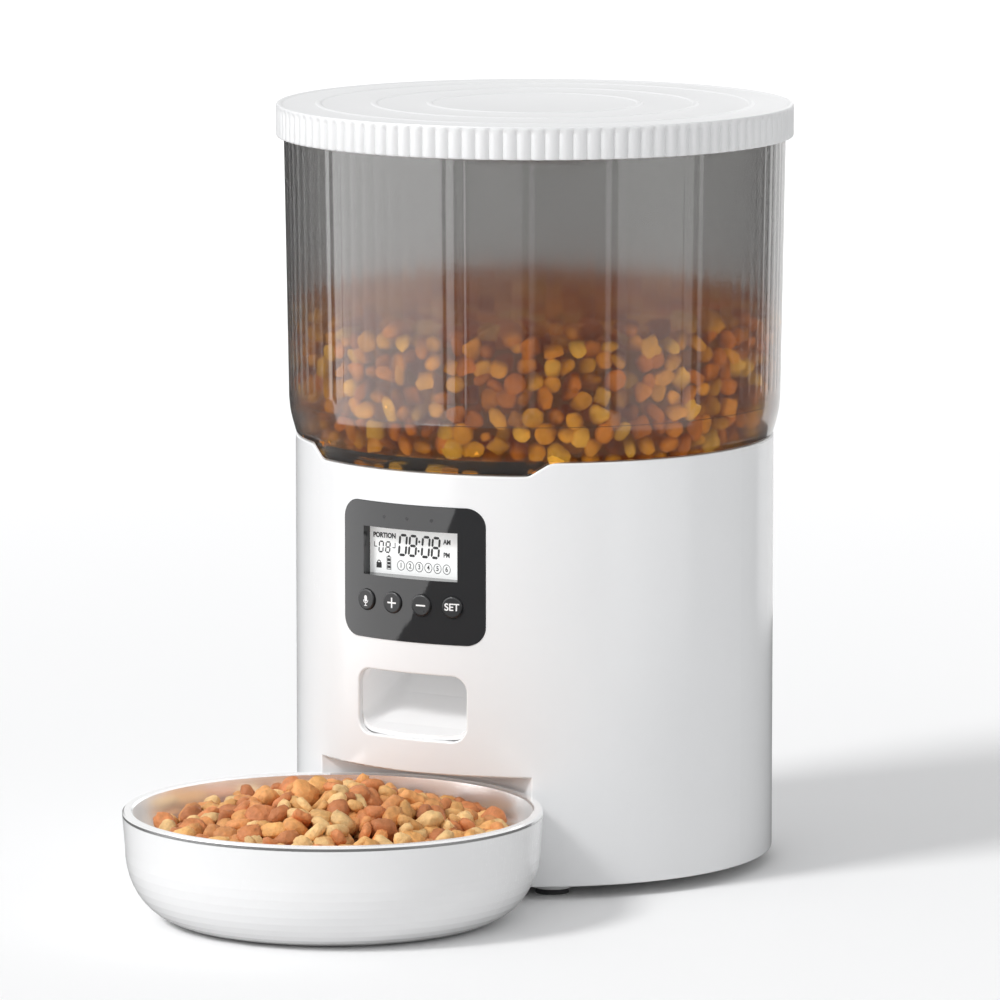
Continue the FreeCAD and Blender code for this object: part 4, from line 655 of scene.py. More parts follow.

# %% [markdown]
# ## Give the machine's own parts their finish
#
# The parts of the frame already have their true shape. Each gets the finish that its
# real counterpart has, outside and inside, because a lifted hopper or a drawn tray lets
# the eye in. The chute and the steel bowl also give out a little painted light, which
# brightens their shaded insides.

# %% Dress the frame
FINISH_OF = {
    "lid": WHITE_LID, "lid_seal": SILICONE, "desiccant_cup": WHITE_SATIN, "desiccant_bag": SACHET,
    "hopper": SMOKED_CLEAR, "body_shell": WHITE_GLOSS, "base_plate": WHITE_SATIN,
    "foot_pads": DARK_RUBBER, "inner_deck": WHITE_SATIN, "portion_baffle": GREY_PLASTIC,
    "rotor": SILICONE, "agitator": GREY_PLASTIC, "drive_shaft": STEEL, "output_gear": GEAR_PLASTIC,
    "idler_gear": GEAR_PLASTIC, "motor_pinion": CONTACT_METAL, "motor": MOTOR_STEEL,
    "gearbox_housing": WHITE_SATIN, "chute": CHUTE_WHITE_WITH_GLOW, "panel_bezel": DARK_GLOSS,
    "tact_switches": BLACK_PLASTIC, "indicator_lights": LIGHT_PIPE, "lcd_panel": LCD_GLASS,
    "lcd_backlight": WHITE_SATIN, "control_board": CIRCUIT_BOARD, "panel_screws": STEEL,
    "main_board": CIRCUIT_BOARD, "power_jack": BLACK_PLASTIC, "speaker": SPEAKER_FRAME,
    "battery_box": WHITE_SATIN, "battery_cells": CELL_SLEEVE, "battery_contacts": CONTACT_METAL,
    "battery_door": WHITE_SATIN, "deck_screws": STEEL, "base_screws": STEEL, "gearbox_screws": STEEL,
    "chute_screws": STEEL, "baffle_screws": STEEL, "motor_screws": STEEL, "tray": WHITE_BOWL,
    "steel_bowl": BOWL_STEEL_WITH_GLOW, "record_button": DARK_BUTTON, "plus_button": DARK_BUTTON,
    "minus_button": DARK_BUTTON, "set_button": DARK_BUTTON,
}


def dress(piece, material):
    """Puts one finish on every face of a piece."""
    slots = piece.data.materials
    if len(slots) == 0:
        slots.append(material)
    for index in range(len(slots)):
        slots[index] = material


for name, part in NODES.items():
    dress(part, FINISH_OF[name])
print("dressed", len(NODES), "parts")


# %% [markdown]
# ## Making surfaces from arrays
#
# A turned piece is a profile carried round an axis. Written with numpy, the profile is
# one array of radii and heights and the turn is one array of angles, and the whole grid
# of points comes out at once. The profile is a closed line that runs out along one side
# of the wall and back along the other, so the piece is a closed solid with a real
# thickness and the light inside the hopper bends as it should.

# %% Helpers for turned pieces
def rounded_outline(corners, radii, steps=5):
    """A closed outline with its corners cut round. Each corner is replaced by points of
    a curve from one side to the other: (1-t)^2 start + 2t(1-t) corner + t^2 end, where
    start and end lie that corner's radius away along its two sides."""
    corner = np.array(corners, float)
    size = np.array(radii, float)[:, None]
    before = np.roll(corner, 1, axis=0) - corner
    after = np.roll(corner, -1, axis=0) - corner
    before_len = np.linalg.norm(before, axis=1, keepdims=True)
    after_len = np.linalg.norm(after, axis=1, keepdims=True)
    start = corner + before / before_len * np.minimum(size, before_len * 0.45)
    end = corner + after / after_len * np.minimum(size, after_len * 0.45)
    t = np.linspace(0.0, 1.0, steps)[None, :, None]
    curve = (1 - t) ** 2 * start[:, None] + 2 * t * (1 - t) * corner[:, None] + t ** 2 * end[:, None]
    flat = curve.reshape(-1, 2)
    keep = np.linalg.norm(flat - np.roll(flat, 1, axis=0), axis=1) > 1e-6
    return flat[keep]


def grid_faces(rows, columns, close_rows):
    """Four-sided faces of a rows x columns grid that always closes along its columns."""
    row = np.arange(rows if close_rows else rows - 1)
    column = np.arange(columns)
    r, c = np.meshgrid(row, column, indexing="ij")
    r1 = (r + 1) % rows
    c1 = (c + 1) % columns
    quads = np.stack([r * columns + c, r1 * columns + c, r1 * columns + c1, r * columns + c1], axis=-1)
    return quads.reshape(-1, 4)


def new_piece(name, points, faces, material, body, sharp_deg=32.0):
    """Puts arrays of points (in mm) and faces into a mesh, closes its seams and poles,
    turns its faces outwards, shades it smooth and lets it ride on a body."""
    mesh = bpy.data.meshes.new(name)
    mesh.from_pydata((points * MM).tolist(), [], faces.tolist())
    work = bmesh.new()
    work.from_mesh(mesh)
    bmesh.ops.remove_doubles(work, verts=work.verts, dist=2e-6)
    bmesh.ops.recalc_face_normals(work, faces=work.faces)
    work.to_mesh(mesh)
    work.free()
    mesh.polygons.foreach_set("use_smooth", np.ones(len(mesh.polygons), bool))
    mesh.set_sharp_from_angle(angle=math.radians(sharp_deg))
    piece = bpy.data.objects.new(name, mesh)
    bpy.context.scene.collection.objects.link(piece)
    mesh.materials.append(material)
    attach(piece, body)
    print(name, len(mesh.polygons), "faces")
    return piece


def turned_points(radius, height, angle, axis_y):
    """P(row, column) = (r sin a, axis - r cos a, z): a = 0 faces the front."""
    x = radius * np.sin(angle)
    y = axis_y - radius * np.cos(angle)
    z = height * np.ones_like(x)
    return np.stack([x, y, z], axis=-1).reshape(-1, 3)


# %% [markdown]
# ## The lid
#
# The lid is a shallow white cap. Its skirt is a ring of 118 rounded grip ribs that end
# just under the top edge, and its top carries three low rings. The ribs are a wave of the
# radius: a rib's crest is rounded and the groove between two ribs is a narrow vee, so the
# wave is made from the absolute value of a sine.

# %% Turn the lid
RIBS = 118
RIB_COLUMNS = 8
RIB_DEPTH = 1.1
RING_RADII = (40.5, 62.0, 83.5)
RING_RISE = 0.4
RING_FOOT = 1.3
RING_TOP = 0.7
ROOF_THICK = 2.4
SKIRT_THICK = 2.5
ROOF_RIBS = ((93.5, 91.7, 7.0), (30.0, 28.0, 9.0))


def lid_outline():
    """The lid's closed outline from the middle of its top, over the three low rings and
    down the skirt, then back under the roof, round its two ribs, to the middle."""
    flat = LID_Z1 - RING_RISE
    corners = [(0.0, flat)]
    radii = [0.0]
    for ring in RING_RADII:
        corners += [(ring - RING_FOOT, flat), (ring - RING_TOP, LID_Z1)]
        corners += [(ring + RING_TOP, LID_Z1), (ring + RING_FOOT, flat)]
        radii += [0.3, 0.5, 0.5, 0.3]
    corners += [(LID_R - 2.6, flat), (LID_R - 1.8, LID_Z1), (LID_R, LID_Z1), (LID_R, LID_Z1 - 3.0)]
    radii += [0.3, 0.5, 1.5, 0.4]
    roof = LID_Z1 - ROOF_THICK
    corners += [(LID_R, LID_Z0), (LID_R - SKIRT_THICK, LID_Z0), (LID_R - SKIRT_THICK, roof)]
    radii += [0.7, 0.3, 0.6]
    for out, inside, drop in ROOF_RIBS:
        corners += [(out, roof), (out, roof - drop), (inside, roof - drop), (inside, roof)]
        radii += [0.4, 0.4, 0.4, 0.4]
    corners.append((0.0, roof))
    radii.append(0.0)
    return rounded_outline(corners, radii, 4)


def make_lid():
    """Radius = the outline's radius - depth x wave, wave = 1 - |sin(ribs x angle / 2)| ^ 0.75,
    only on the outside of the skirt and fading in just under the top edge."""
    outline = lid_outline()
    columns = RIBS * RIB_COLUMNS
    angle = np.arange(columns) / columns * 2.0 * np.pi
    wave = 1.0 - np.abs(np.sin(angle * RIBS / 2.0)) ** 0.75
    radius = outline[:, 0][:, None]
    height = outline[:, 1][:, None]
    on_skirt = np.clip((radius - (LID_R - 1.6)) / 1.2, 0.0, 1.0)
    below_edge = np.clip((LID_Z1 - 0.9 - height) / 1.3, 0.0, 1.0)
    cut = RIB_DEPTH * wave[None, :] * on_skirt * below_edge ** 0.7
    points = turned_points(radius - cut, height + 0.0 * angle[None, :], angle[None, :], AXIS_Y)
    faces = grid_faces(len(outline), columns, False)
    return new_piece("ribbed_lid", points, faces, WHITE_LID, "lid", 40.0)


LID = make_lid()
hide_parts("lid")

# %% [markdown]
# ## The hopper
#
# The hopper is a slightly tapered vessel with 96 shallow flutes down its outside. Each
# flute is a barely bulging panel, so where the room changes from light to dark the
# mirrored edge breaks into upright steps, and where it is even nothing shows. The
# flutes die out in rounded ends above the smooth shoulder. In front the seat dips to
# form a tab that fills the notch in the body's rim.

# %% Shape the hopper
FLUTES = 96
FLUTE_COLUMNS = 8
FLUTE_DEPTH = 0.16
FLUTE_END_Z = 184.0
RIM_Z = 292.7
RIM_R = 97.1
RIM_INSIDE_R = 94.9
INSIDE_TAPER = 0.0169
SHOULDER_Z = 179.8
SHOULDER_R = 95.2
SHOULDER_INSIDE_R = 93.0
SEAT_Z = 167.7
TAB_DROP = 5.1
TAB_LOW_DEG = 29.5
TAB_HIGH_DEG = 34.8


def hopper_outline():
    """The hopper's closed outline: down the outside, round the seat and the spigot, up the
    funnel and the inside. The outside is straight between the rim and the shoulder, so it
    has close points only where the flutes die out."""
    corners = [
        (RIM_R, RIM_Z), (SHOULDER_R, SHOULDER_Z), (94.4, 174.6), (92.6, 168.3), (92.2, SEAT_Z),
        (89.4, SEAT_Z), (89.4, 158.3), (87.2, 158.3), (87.2, 162.3), (59.8, 146.4), (57.6, 146.4),
        (57.6, 148.0), (87.2, 165.3), (90.6, 170.8), (SHOULDER_INSIDE_R, SHOULDER_Z),
        (RIM_INSIDE_R, RIM_Z),
    ]
    radii = [0.5, 9.0, 5.0, 0.6, 0.5, 0.4, 0.4, 0.4, 1.0, 0.4, 0.4, 0.6, 3.0, 4.0, 6.0, 0.5]
    outline = rounded_outline(corners, radii, 7)
    on_side = (outline[:, 0] > 95.1) & (outline[:, 1] > 182.5) & (outline[:, 1] < 290.0)
    outline = outline[~on_side]
    side_z = np.concatenate([[288.0, 193.0], np.linspace(192.0, 181.2, 14)])
    side_r = RIM_R + (side_z - RIM_Z) / (SHOULDER_Z - RIM_Z) * (SHOULDER_R - RIM_R)
    side = np.stack([side_r, side_z], axis=-1)
    below_rim = int(np.argmax(outline[:, 1] < 291.0))
    return np.concatenate([outline[:below_rim], side, outline[below_rim:]])


def tab_share(angle_deg):
    """1 over the tab, 0 beyond it; the slope between is averaged over a short window,
    which rounds both of its corners."""
    window = 1.5 / (TAB_HIGH_DEG - TAB_LOW_DEG)
    across = (np.abs(angle_deg) - TAB_LOW_DEG) / (TAB_HIGH_DEG - TAB_LOW_DEG)

    def area(x):
        inside = np.clip(x, 0.0, 1.0)
        return inside ** 2 / 2.0 + np.maximum(x - 1.0, 0.0)

    return 1.0 - (area(across + window / 2.0) - area(across - window / 2.0)) / window


def make_hopper():
    """Radius = the outline's radius - depth x across^2 on the outside wall, where across
    runs from -1 to 1 over each flute. Height falls by the tab's share under the seat."""
    outline = hopper_outline()
    columns = FLUTES * FLUTE_COLUMNS
    angle = np.arange(columns) / columns * 2.0 * np.pi
    across = (angle * FLUTES / (2.0 * np.pi)) % 1.0 * 2.0 - 1.0
    radius = outline[:, 0][:, None]
    height = outline[:, 1][:, None]
    inside_r = RIM_INSIDE_R - (RIM_Z - height) * INSIDE_TAPER
    outside = (radius > 94.6) & (height > 178.0) & (radius - 2.0 > inside_r - 1.0)
    above_end = np.clip((height - FLUTE_END_Z - 2.2 * across[None, :] ** 2) / 1.6, 0.0, 1.0)
    cut = FLUTE_DEPTH * across[None, :] ** 2 * above_end * outside
    degrees = (np.degrees(angle) + 180.0) % 360.0 - 180.0
    seat = (height < SEAT_Z + 0.75) & (height > SEAT_Z - 0.6) & (radius > 89.0)
    fall = TAB_DROP * tab_share(degrees)[None, :] * seat
    points = turned_points(radius - cut, height - fall, angle[None, :], AXIS_Y)
    faces = grid_faces(len(outline), columns, True)
    return new_piece("fluted_hopper", points, faces, SMOKED_CLEAR, "hopper", 30.0)


HOPPER = make_hopper()
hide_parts("hopper")

# %% [markdown]
# ## Signs on the panel
#
# The panel carries a small display and four round buttons. Its signs are thin printed
# shapes. Lettering starts as a text curve that becomes a mesh before it is moved; the
# digits of the clock are seven slanted bars each, as on a real segment display. Every
# sign is laid out flat, in millimetres, and then stood on its surface by three vectors.

# %% Helpers for flat signs
def lettering(words, size, weight=0.0):
    """A text as a flat mesh: corner points in mm about its middle, and its faces."""
    curve = bpy.data.curves.new("words", "FONT")
    curve.body = words
    curve.size = size
    curve.offset = weight
    curve.resolution_u = 6
    curve.align_x = "CENTER"
    curve.align_y = "CENTER"
    holder = bpy.data.objects.new("words", curve)
    bpy.context.scene.collection.objects.link(holder)
    graph = bpy.context.evaluated_depsgraph_get()
    mesh = bpy.data.meshes.new_from_object(holder.evaluated_get(graph))
    flat = np.empty(len(mesh.vertices) * 3)
    mesh.vertices.foreach_get("co", flat)
    faces = [tuple(face.vertices) for face in mesh.polygons]
    bpy.data.objects.remove(holder)
    bpy.data.curves.remove(curve)
    bpy.data.meshes.remove(mesh)
    return flat.reshape(-1, 3)[:, :2], faces


def polygon(points):
    """One flat face from its corner points."""
    return np.array(points, float), [tuple(range(len(points)))]


def rectangle(x0, y0, x1, y1):
    """A flat rectangle from its lower left to its upper right corner."""
    return polygon([(x0, y0), (x1, y0), (x1, y1), (x0, y1)])


def ring_sign(radius, width, count=28, start=0.0, stop=360.0):
    """A flat ring or arc between two radii, as a strip of four-sided faces."""
    turn = np.radians(np.linspace(start, stop, count + 1))
    inner = np.stack([np.cos(turn), np.sin(turn)], axis=-1) * (radius - width)
    outer = np.stack([np.cos(turn), np.sin(turn)], axis=-1) * radius
    points = np.concatenate([inner, outer])
    far = count + 1
    faces = [(i, i + far, i + far + 1, i + 1) for i in range(count)]
    return points, faces


def moved(sign, across, up, scale=1.0):
    """A sign grown about its middle and then moved: P = scale x p + (across, up)."""
    return sign[0] * scale + np.array([across, up]), sign[1]


def segment_bar(x0, y0, x1, y1, width):
    """One bar of a segment digit: a long hexagon with pointed ends."""
    a = np.array([x0, y0], float)
    b = np.array([x1, y1], float)
    way = (b - a) / np.linalg.norm(b - a)
    side = np.array([-way[1], way[0]]) * width / 2.0
    tip = way * width / 2.0
    return polygon([a, a + tip + side, b - tip + side, b, b - tip - side, a + tip - side])


BARS_OF = {"0": "abcdef", "8": "abcdefg"}


def segment_digit(figure, x, y, wide, high, width, slant=0.1):
    """The bars a..g of one figure, leaning to the right by slant."""
    gap = width * 0.22
    half = high / 2.0
    ends = {
        "a": (gap, high, wide - gap, high), "b": (wide, high - gap, wide, half + gap),
        "c": (wide, half - gap, wide, gap), "d": (gap, 0.0, wide - gap, 0.0),
        "e": (0.0, half - gap, 0.0, gap), "f": (0.0, high - gap, 0.0, half + gap),
        "g": (gap, half, wide - gap, half),
    }
    signs = []
    for bar in BARS_OF[figure]:
        points, faces = segment_bar(*ends[bar], width)
        points[:, 0] += points[:, 1] * slant
        signs.append((points + np.array([x, y]), faces))
    return signs


def stand_signs(name, signs, origin, right, up, out, thick, material, body):
    """Stands flat signs on a surface: P = origin + x right + y up, then gives them a
    thickness along out by joining the faces to a second, raised copy."""
    points = []
    faces = []
    base = 0
    for flat, sign_faces in signs:
        place = origin + flat[:, :1] * right + flat[:, 1:] * up
        count = len(place)
        points += [place, place + out * thick]
        edges = {}
        for face in sign_faces:
            for a, b in zip(face, face[1:] + face[:1]):
                edges[(a, b)] = edges.get((a, b), 0) + 1
        for face in sign_faces:
            faces.append(tuple(base + count + i for i in face))
            faces.append(tuple(base + i for i in reversed(face)))
        for a, b in edges:
            if (b, a) not in edges:
                faces.append((base + a, base + b, base + count + b, base + count + a))
        base += 2 * count
    mesh = bpy.data.meshes.new(name)
    mesh.from_pydata((np.concatenate(points) * MM).tolist(), [], faces)
    work = bmesh.new()
    work.from_mesh(mesh)
    bmesh.ops.recalc_face_normals(work, faces=work.faces)
    work.to_mesh(mesh)
    work.free()
    mesh.materials.append(material)
    piece = bpy.data.objects.new(name, mesh)
    bpy.context.scene.collection.objects.link(piece)
    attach(piece, body)
    print(name, len(signs), "signs", len(mesh.polygons), "faces")
    return piece


# %% Set the display
SIGN_THICK = 0.04
SIGN_LIFT = 0.02
SIGN_SINK = 0.01
SIGN_SCALE = 1.14
SIGN_SQUEEZE = np.array([0.89, 1.0])
SIGN_SHIFT = np.array([0.165, 0.0])


def corner_mark(x, y, wide, high, line):
    """An L-shaped corner bracket: x, y is its corner, wide and high may be negative."""
    sx = math.copysign(line, wide)
    sy = math.copysign(line, high)
    inner = [(x + wide, y + sy), (x + sx, y + sy), (x + sx, y + high)]
    return polygon([(x, y), (x + wide, y)] + inner + [(x, y + high)])


def padlock(x, y):
    """A closed padlock: a body under a bow."""
    box = rectangle(-1.3, -1.6, 1.3, 0.5)
    bow = moved(ring_sign(0.95, 0.36, 14, 0.0, 180.0), 0.0, 0.5)
    return [moved(box, x, y), moved(bow, x, y)]


def battery_sign(x, y):
    """An upright battery: a frame, a cap and three charge bars."""
    line = 0.26
    half = 1.1
    high = 2.5
    signs = [
        rectangle(-0.45, high, 0.45, 2.95),
        rectangle(-half, -high, -half + line, high),
        rectangle(half - line, -high, half, high),
        rectangle(-half + line, -high, half - line, -high + line),
        rectangle(-half + line, high - line, half - line, high),
    ]
    signs += [rectangle(-0.72, low, 0.72, low + 1.05) for low in (-1.95, -0.6, 0.75)]
    return [moved(sign, x, y) for sign in signs]


LCD_WIDE = 42.0
LCD_HIGH = 18.6
LCD_MID_Z = 130.8


def display_signs():
    """Every sign of the display. x runs right from its left edge, y down from its top."""
    signs = [moved(lettering("PORTION", 2.6, 0.11), 7.1, -4.0)]
    signs += segment_digit("0", 4.2, -10.4, 2.0, 4.0, 0.55)
    signs += segment_digit("8", 7.6, -10.4, 2.0, 4.0, 0.55)
    signs += [corner_mark(1.9, -8.6, 1.5, 2.0, 0.3), corner_mark(12.6, -8.6, -1.5, 2.0, 0.3)]
    signs += padlock(4.3, -15.0) + battery_sign(9.3, -14.5)
    for figure, left in zip("0808", (14.3, 19.3, 25.8, 30.8)):
        signs += segment_digit(figure, left, -10.9, 3.4, 7.6, 1.0)
    for low in (-8.9, -5.3):
        signs.append(moved(ring_sign(0.5, 0.49, 12), 24.3 + (low + 8.9) * 0.1, low))
    signs += [moved(lettering("AM", 2.5, 0.1), 38.6, -4.6), moved(lettering("PM", 2.5, 0.1), 38.4, -9.6)]
    for index in range(6):
        middle = 15.4 + 4.6 * index
        signs.append(moved(ring_sign(1.95, 0.24), middle, -15.0))
        signs.append(moved(lettering(str(index + 1), 2.7, 0.04), middle, -15.0))
    return [(points * SIGN_SQUEEZE + SIGN_SHIFT, faces) for points, faces in signs]


RIGHT = np.array([1.0, 0.0, 0.0])
UP = np.array([0.0, 0.0, 1.0])
FRONT = np.array([0.0, -1.0, 0.0])
LCD_CORNER = np.array([-LCD_WIDE / 2.0, LCD_FRONT_Y - SIGN_LIFT, LCD_MID_Z + LCD_HIGH / 2.0])
DISPLAY_SIGNS = stand_signs(
    "display_signs", display_signs(), LCD_CORNER, RIGHT, UP, FRONT, SIGN_THICK, DISPLAY_INK,
    "base",
)


# %% Print the buttons
def microphone_sign():
    """A capsule over an open cradle on a stem."""
    turn = np.radians(np.linspace(0.0, 180.0, 10))
    top = np.stack([np.cos(turn) * 0.62, np.sin(turn) * 0.62 + 0.85], axis=-1)
    low = np.stack([-np.cos(turn) * 0.62, -np.sin(turn) * 0.62 - 0.1], axis=-1)
    capsule = (np.concatenate([top, low]), [tuple(range(20))])
    cradle = moved(ring_sign(1.15, 0.28, 14, 180.0, 360.0), 0.0, -0.1)
    stem = rectangle(-0.15, -1.95, 0.15, -1.2)
    foot = rectangle(-0.7, -2.15, 0.7, -1.9)
    return [capsule, cradle, stem, foot]


def minus_sign():
    """One level bar."""
    return [rectangle(-1.75, -0.27, 1.75, 0.27)]


def plus_sign():
    """The level bar with a short bar above and below it."""
    short = rectangle(-0.27, -0.74, 0.27, 0.74)
    return minus_sign() + [moved(short, 0.0, 1.01), moved(short, 0.0, -1.01)]


BUTTON_Z = 111.8
BUTTON_SIGNS = {
    "record_button": (-19.2, microphone_sign()),
    "plus_button": (-6.4, plus_sign()),
    "minus_button": (6.4, minus_sign()),
    "set_button": (19.2, [lettering("SET", 3.4, 0.07)]),
}


def face_reach(part, out):
    """How far a button's own face stands from the feeder's axis, in mm: the largest of
    its points . the direction of its pin."""
    flat = np.empty(len(part.data.vertices) * 3)
    part.data.vertices.foreach_get("co", flat)
    return float(((flat.reshape(-1, 3) / MM - np.array([0.0, AXIS_Y, 0.0])) @ out).max())


for name, (offset, signs) in BUTTON_SIGNS.items():
    turn = offset / BODY_R
    out = np.array([math.sin(turn), -math.cos(turn), 0.0])
    aside = np.array([math.cos(turn), math.sin(turn), 0.0])
    centre = out * (face_reach(NODES[name], out) - SIGN_SINK) + np.array([0.0, AXIS_Y, BUTTON_Z])
    larger = [moved(sign, 0.0, 0.0, SIGN_SCALE) for sign in signs]
    label = name.replace("button", "sign")
    stand_signs(label, larger, centre, aside, UP, out, SIGN_THICK, WHITE_INK, name)

# %% [markdown]
# ## The food
#
# Dry food is pressed in a few shapes and baked: pillows, discs, little bones, crosses and
# hearts, seven to twelve millimetres across. One shape is a closed grid whose outline
# is a wave round a circle and whose thickness is that of a pillow, and it keeps to a few
# dozen faces because it is repeated hundreds of times. The pieces are dropped one after
# the other on a map of heights, so each lies on those below, as in a real heap.

# %% Press the food shapes
SHAPE_COLUMNS = 14
SHAPE_ROWS = 4


def food_shape(waves, swing, stretch, thick, bulge):
    """x = f cos a cos^k b, y = s f sin a cos^k b, z = t sin b, where the outline f is
    1 + swing cos(waves a), s is the stretch and a small k makes the edge full."""
    a = np.arange(SHAPE_COLUMNS) / SHAPE_COLUMNS * 2.0 * np.pi
    b = np.linspace(-0.5 * np.pi, 0.5 * np.pi, SHAPE_ROWS + 2)[1:-1]
    outline = 1.0 + swing * np.cos(waves * a)
    flat = np.cos(b)[:, None] ** bulge
    x = flat * (outline * np.cos(a))[None, :]
    y = flat * (outline * np.sin(a) * stretch)[None, :]
    z = thick * np.sin(b)[:, None] * np.ones_like(a)[None, :]
    points = np.stack([x, y, z], axis=-1).reshape(-1, 3)
    poles = np.array([[0.0, 0.0, -thick * 1.02], [0.0, 0.0, thick * 1.02]])
    return np.concatenate([points, poles])


def food_faces():
    """The four-sided bands as pairs of triangles, with a fan at each pole."""
    quads = grid_faces(SHAPE_ROWS, SHAPE_COLUMNS, False)
    band = np.concatenate([quads[:, [0, 3, 2]], quads[:, [0, 2, 1]]])
    ring = np.arange(SHAPE_COLUMNS)
    after = (ring + 1) % SHAPE_COLUMNS
    low = SHAPE_ROWS * SHAPE_COLUMNS
    last = (SHAPE_ROWS - 1) * SHAPE_COLUMNS
    bottom = np.stack([np.full_like(ring, low), after, ring], axis=-1)
    top = np.stack([np.full_like(ring, low + 1), last + ring, last + after], axis=-1)
    return np.concatenate([band, bottom, top])


FOOD_SHAPES = [
    food_shape(2, 0.04, 0.94, 0.52, 0.45),
    food_shape(2, 0.14, 0.78, 0.50, 0.45),
    food_shape(4, 0.17, 1.0, 0.46, 0.4),
    food_shape(2, 0.24, 0.80, 0.48, 0.45),
    food_shape(3, 0.13, 0.97, 0.50, 0.45),
    food_shape(1, 0.10, 0.9, 0.62, 0.6),
]
FOOD_FACES = food_faces()
FOOD_TINTS = np.array([
    [0.78, 0.36, 0.115], [0.86, 0.48, 0.17], [0.65, 0.24, 0.08], [0.74, 0.31, 0.10],
    [0.90, 0.58, 0.25], [0.59, 0.21, 0.07], [0.82, 0.42, 0.135],
])
print(len(FOOD_SHAPES), "shapes of", len(FOOD_FACES), "faces")


# %% Turn, size and tint many pieces at once
def turns(rng, lean):
    """Rotation matrices, one a piece: a free turn about the piece's own upright, which is
    tipped to the given lean. Columns = (side, third, up) with the first two turned."""
    count = len(lean)
    spin = rng.uniform(0.0, 2.0 * np.pi, count)
    up = lean / np.linalg.norm(lean, axis=1, keepdims=True)
    helper = np.where(np.abs(up[:, 2:3]) < 0.9, [[0.0, 0.0, 1.0]], [[1.0, 0.0, 0.0]])
    side = np.cross(helper, up)
    side /= np.linalg.norm(side, axis=1, keepdims=True)
    third = np.cross(up, side)
    c, s = np.cos(spin)[:, None], np.sin(spin)[:, None]
    first = c * side + s * third
    second = -s * side + c * third
    return np.stack([first, second, up], axis=-1)


def food_piece(name, centres, leans, sizes, kinds, seed, body, material, shade=None):
    """All pieces in one mesh: P = centre + R (size x shape), worked out as one array. The
    tint of each point is its piece's colour times the painted shade found there."""
    rng = np.random.default_rng(seed)
    shapes = np.stack(FOOD_SHAPES)[kinds]
    lumps = 1.0 + rng.normal(0.0, 0.045, shapes.shape[:2])[:, :, None]
    scaled = shapes * lumps * sizes[:, None, None] * rng.uniform(0.9, 1.1, (len(kinds), 1, 3))
    points = centres[:, None, :] + np.einsum("nij,nkj->nki", turns(rng, leans), scaled)
    step = shapes.shape[1]
    faces = FOOD_FACES[None, :, :] + (np.arange(len(kinds)) * step)[:, None, None]
    mesh = bpy.data.meshes.new(name)
    mesh.from_pydata((points.reshape(-1, 3) * MM).tolist(), [], faces.reshape(-1, 3).tolist())
    mesh.polygons.foreach_set("use_smooth", np.ones(len(mesh.polygons), bool))
    tint = FOOD_TINTS[rng.integers(0, len(FOOD_TINTS), len(kinds))]
    tint = tint * rng.uniform(0.82, 1.15, (len(kinds), 1))
    paint = np.ones((len(kinds), step, 4))
    paint[:, :, :3] = tint[:, None, :]
    if shade is not None:
        paint[:, :, :3] *= shade(points)
    # The stored tint holds each piece's colour together with its painted shade.
    layer = mesh.color_attributes.new("kibble_tint_and_shade", "FLOAT_COLOR", "POINT")
    layer.data.foreach_set("color", paint.ravel())
    mesh.materials.append(material)
    piece = bpy.data.objects.new(name, mesh)
    bpy.context.scene.collection.objects.link(piece)
    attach(piece, body)
    print(name, len(kinds), "pieces", len(mesh.polygons), "faces")
    return piece


# %% Drop pieces on a map of heights
def map_cells(count, cell):
    """The x and the y of every cell of a square map, in mm about its middle."""
    grid = (np.arange(count) - (count - 1) / 2.0) * cell
    return np.meshgrid(grid, grid, indexing="ij")


def drop_pieces(rng, ground, limit, reach, cell, tries, size_range):
    """Each piece picks a place, lands where the map under it is high, tips to the slope
    there and raises the map. It stays only if its top keeps under the limit."""
    count = ground.shape[0]
    middle = (count - 1) / 2.0
    gx, gy = map_cells(count, cell)
    centres, leans, sizes = [], [], []
    for _ in range(tries):
        far = reach * math.sqrt(rng.uniform())
        turn = rng.uniform(0.0, 2.0 * np.pi)
        x, y = far * math.cos(turn), far * math.sin(turn)
        size = rng.uniform(*size_range)
        i0, j0 = int((x - size) / cell + middle), int((y - size) / cell + middle)
        span = int(2 * size / cell) + 2
        part = (slice(max(i0, 0), i0 + span), slice(max(j0, 0), j0 + span))
        off = (gx[part] - x) ** 2 + (gy[part] - y) ** 2
        under = off < (size * 0.8) ** 2
        if not under.any():
            continue
        spots = ground[part][under]
        rest = np.percentile(spots, 72.0)
        half = size * 0.5
        if rest + 1.35 * half > limit(math.hypot(x, y)):
            continue
        slope_x = np.polyfit(gx[part][under], spots, 1)[0] if np.ptp(gx[part][under]) > 0 else 0.0
        slope_y = np.polyfit(gy[part][under], spots, 1)[0] if np.ptp(gy[part][under]) > 0 else 0.0
        lean = np.array([-slope_x, -slope_y, 1.0]) + rng.normal(0.0, 0.32, 3) * np.array([1.0, 1.0, 0.0])
        centres.append((x, y, rest + half * 0.7))
        leans.append(lean)
        sizes.append(size)
        dome = rest + half * 0.7 + half * np.sqrt(np.clip(1.0 - off / (size * 0.95) ** 2, 0.0, 1.0))
        ground[part] = np.where(off < (size * 0.95) ** 2, np.maximum(ground[part], dome), ground[part])
    return np.array(centres), np.array(leans), np.array(sizes)


# %% [markdown]
# ### The heap in the bowl
#
# Only the top two or three layers of the heap show. Below them a plain brown core
# stands in for the rest, an upturned dish that keeps clear of the steel. Its tint is
# darker than any piece: painted shade for the hidden layers.

# %% Heap the bowl
BOWL_FOOD_R = 66.0
HEAP_EDGE_Z = 36.5
HEAP_RISE = 13.5
HEAP_DEPTH = 15.0
BOWL_CELL = 0.8
BOWL_CELLS = 181


def heap_top(away):
    """A low dome: the edge height plus a rise that falls off as a cosine."""
    share = min(away / BOWL_FOOD_R, 1.0)
    return HEAP_EDGE_Z + HEAP_RISE * 0.5 * (1.0 + math.cos(math.pi * share ** 1.15))


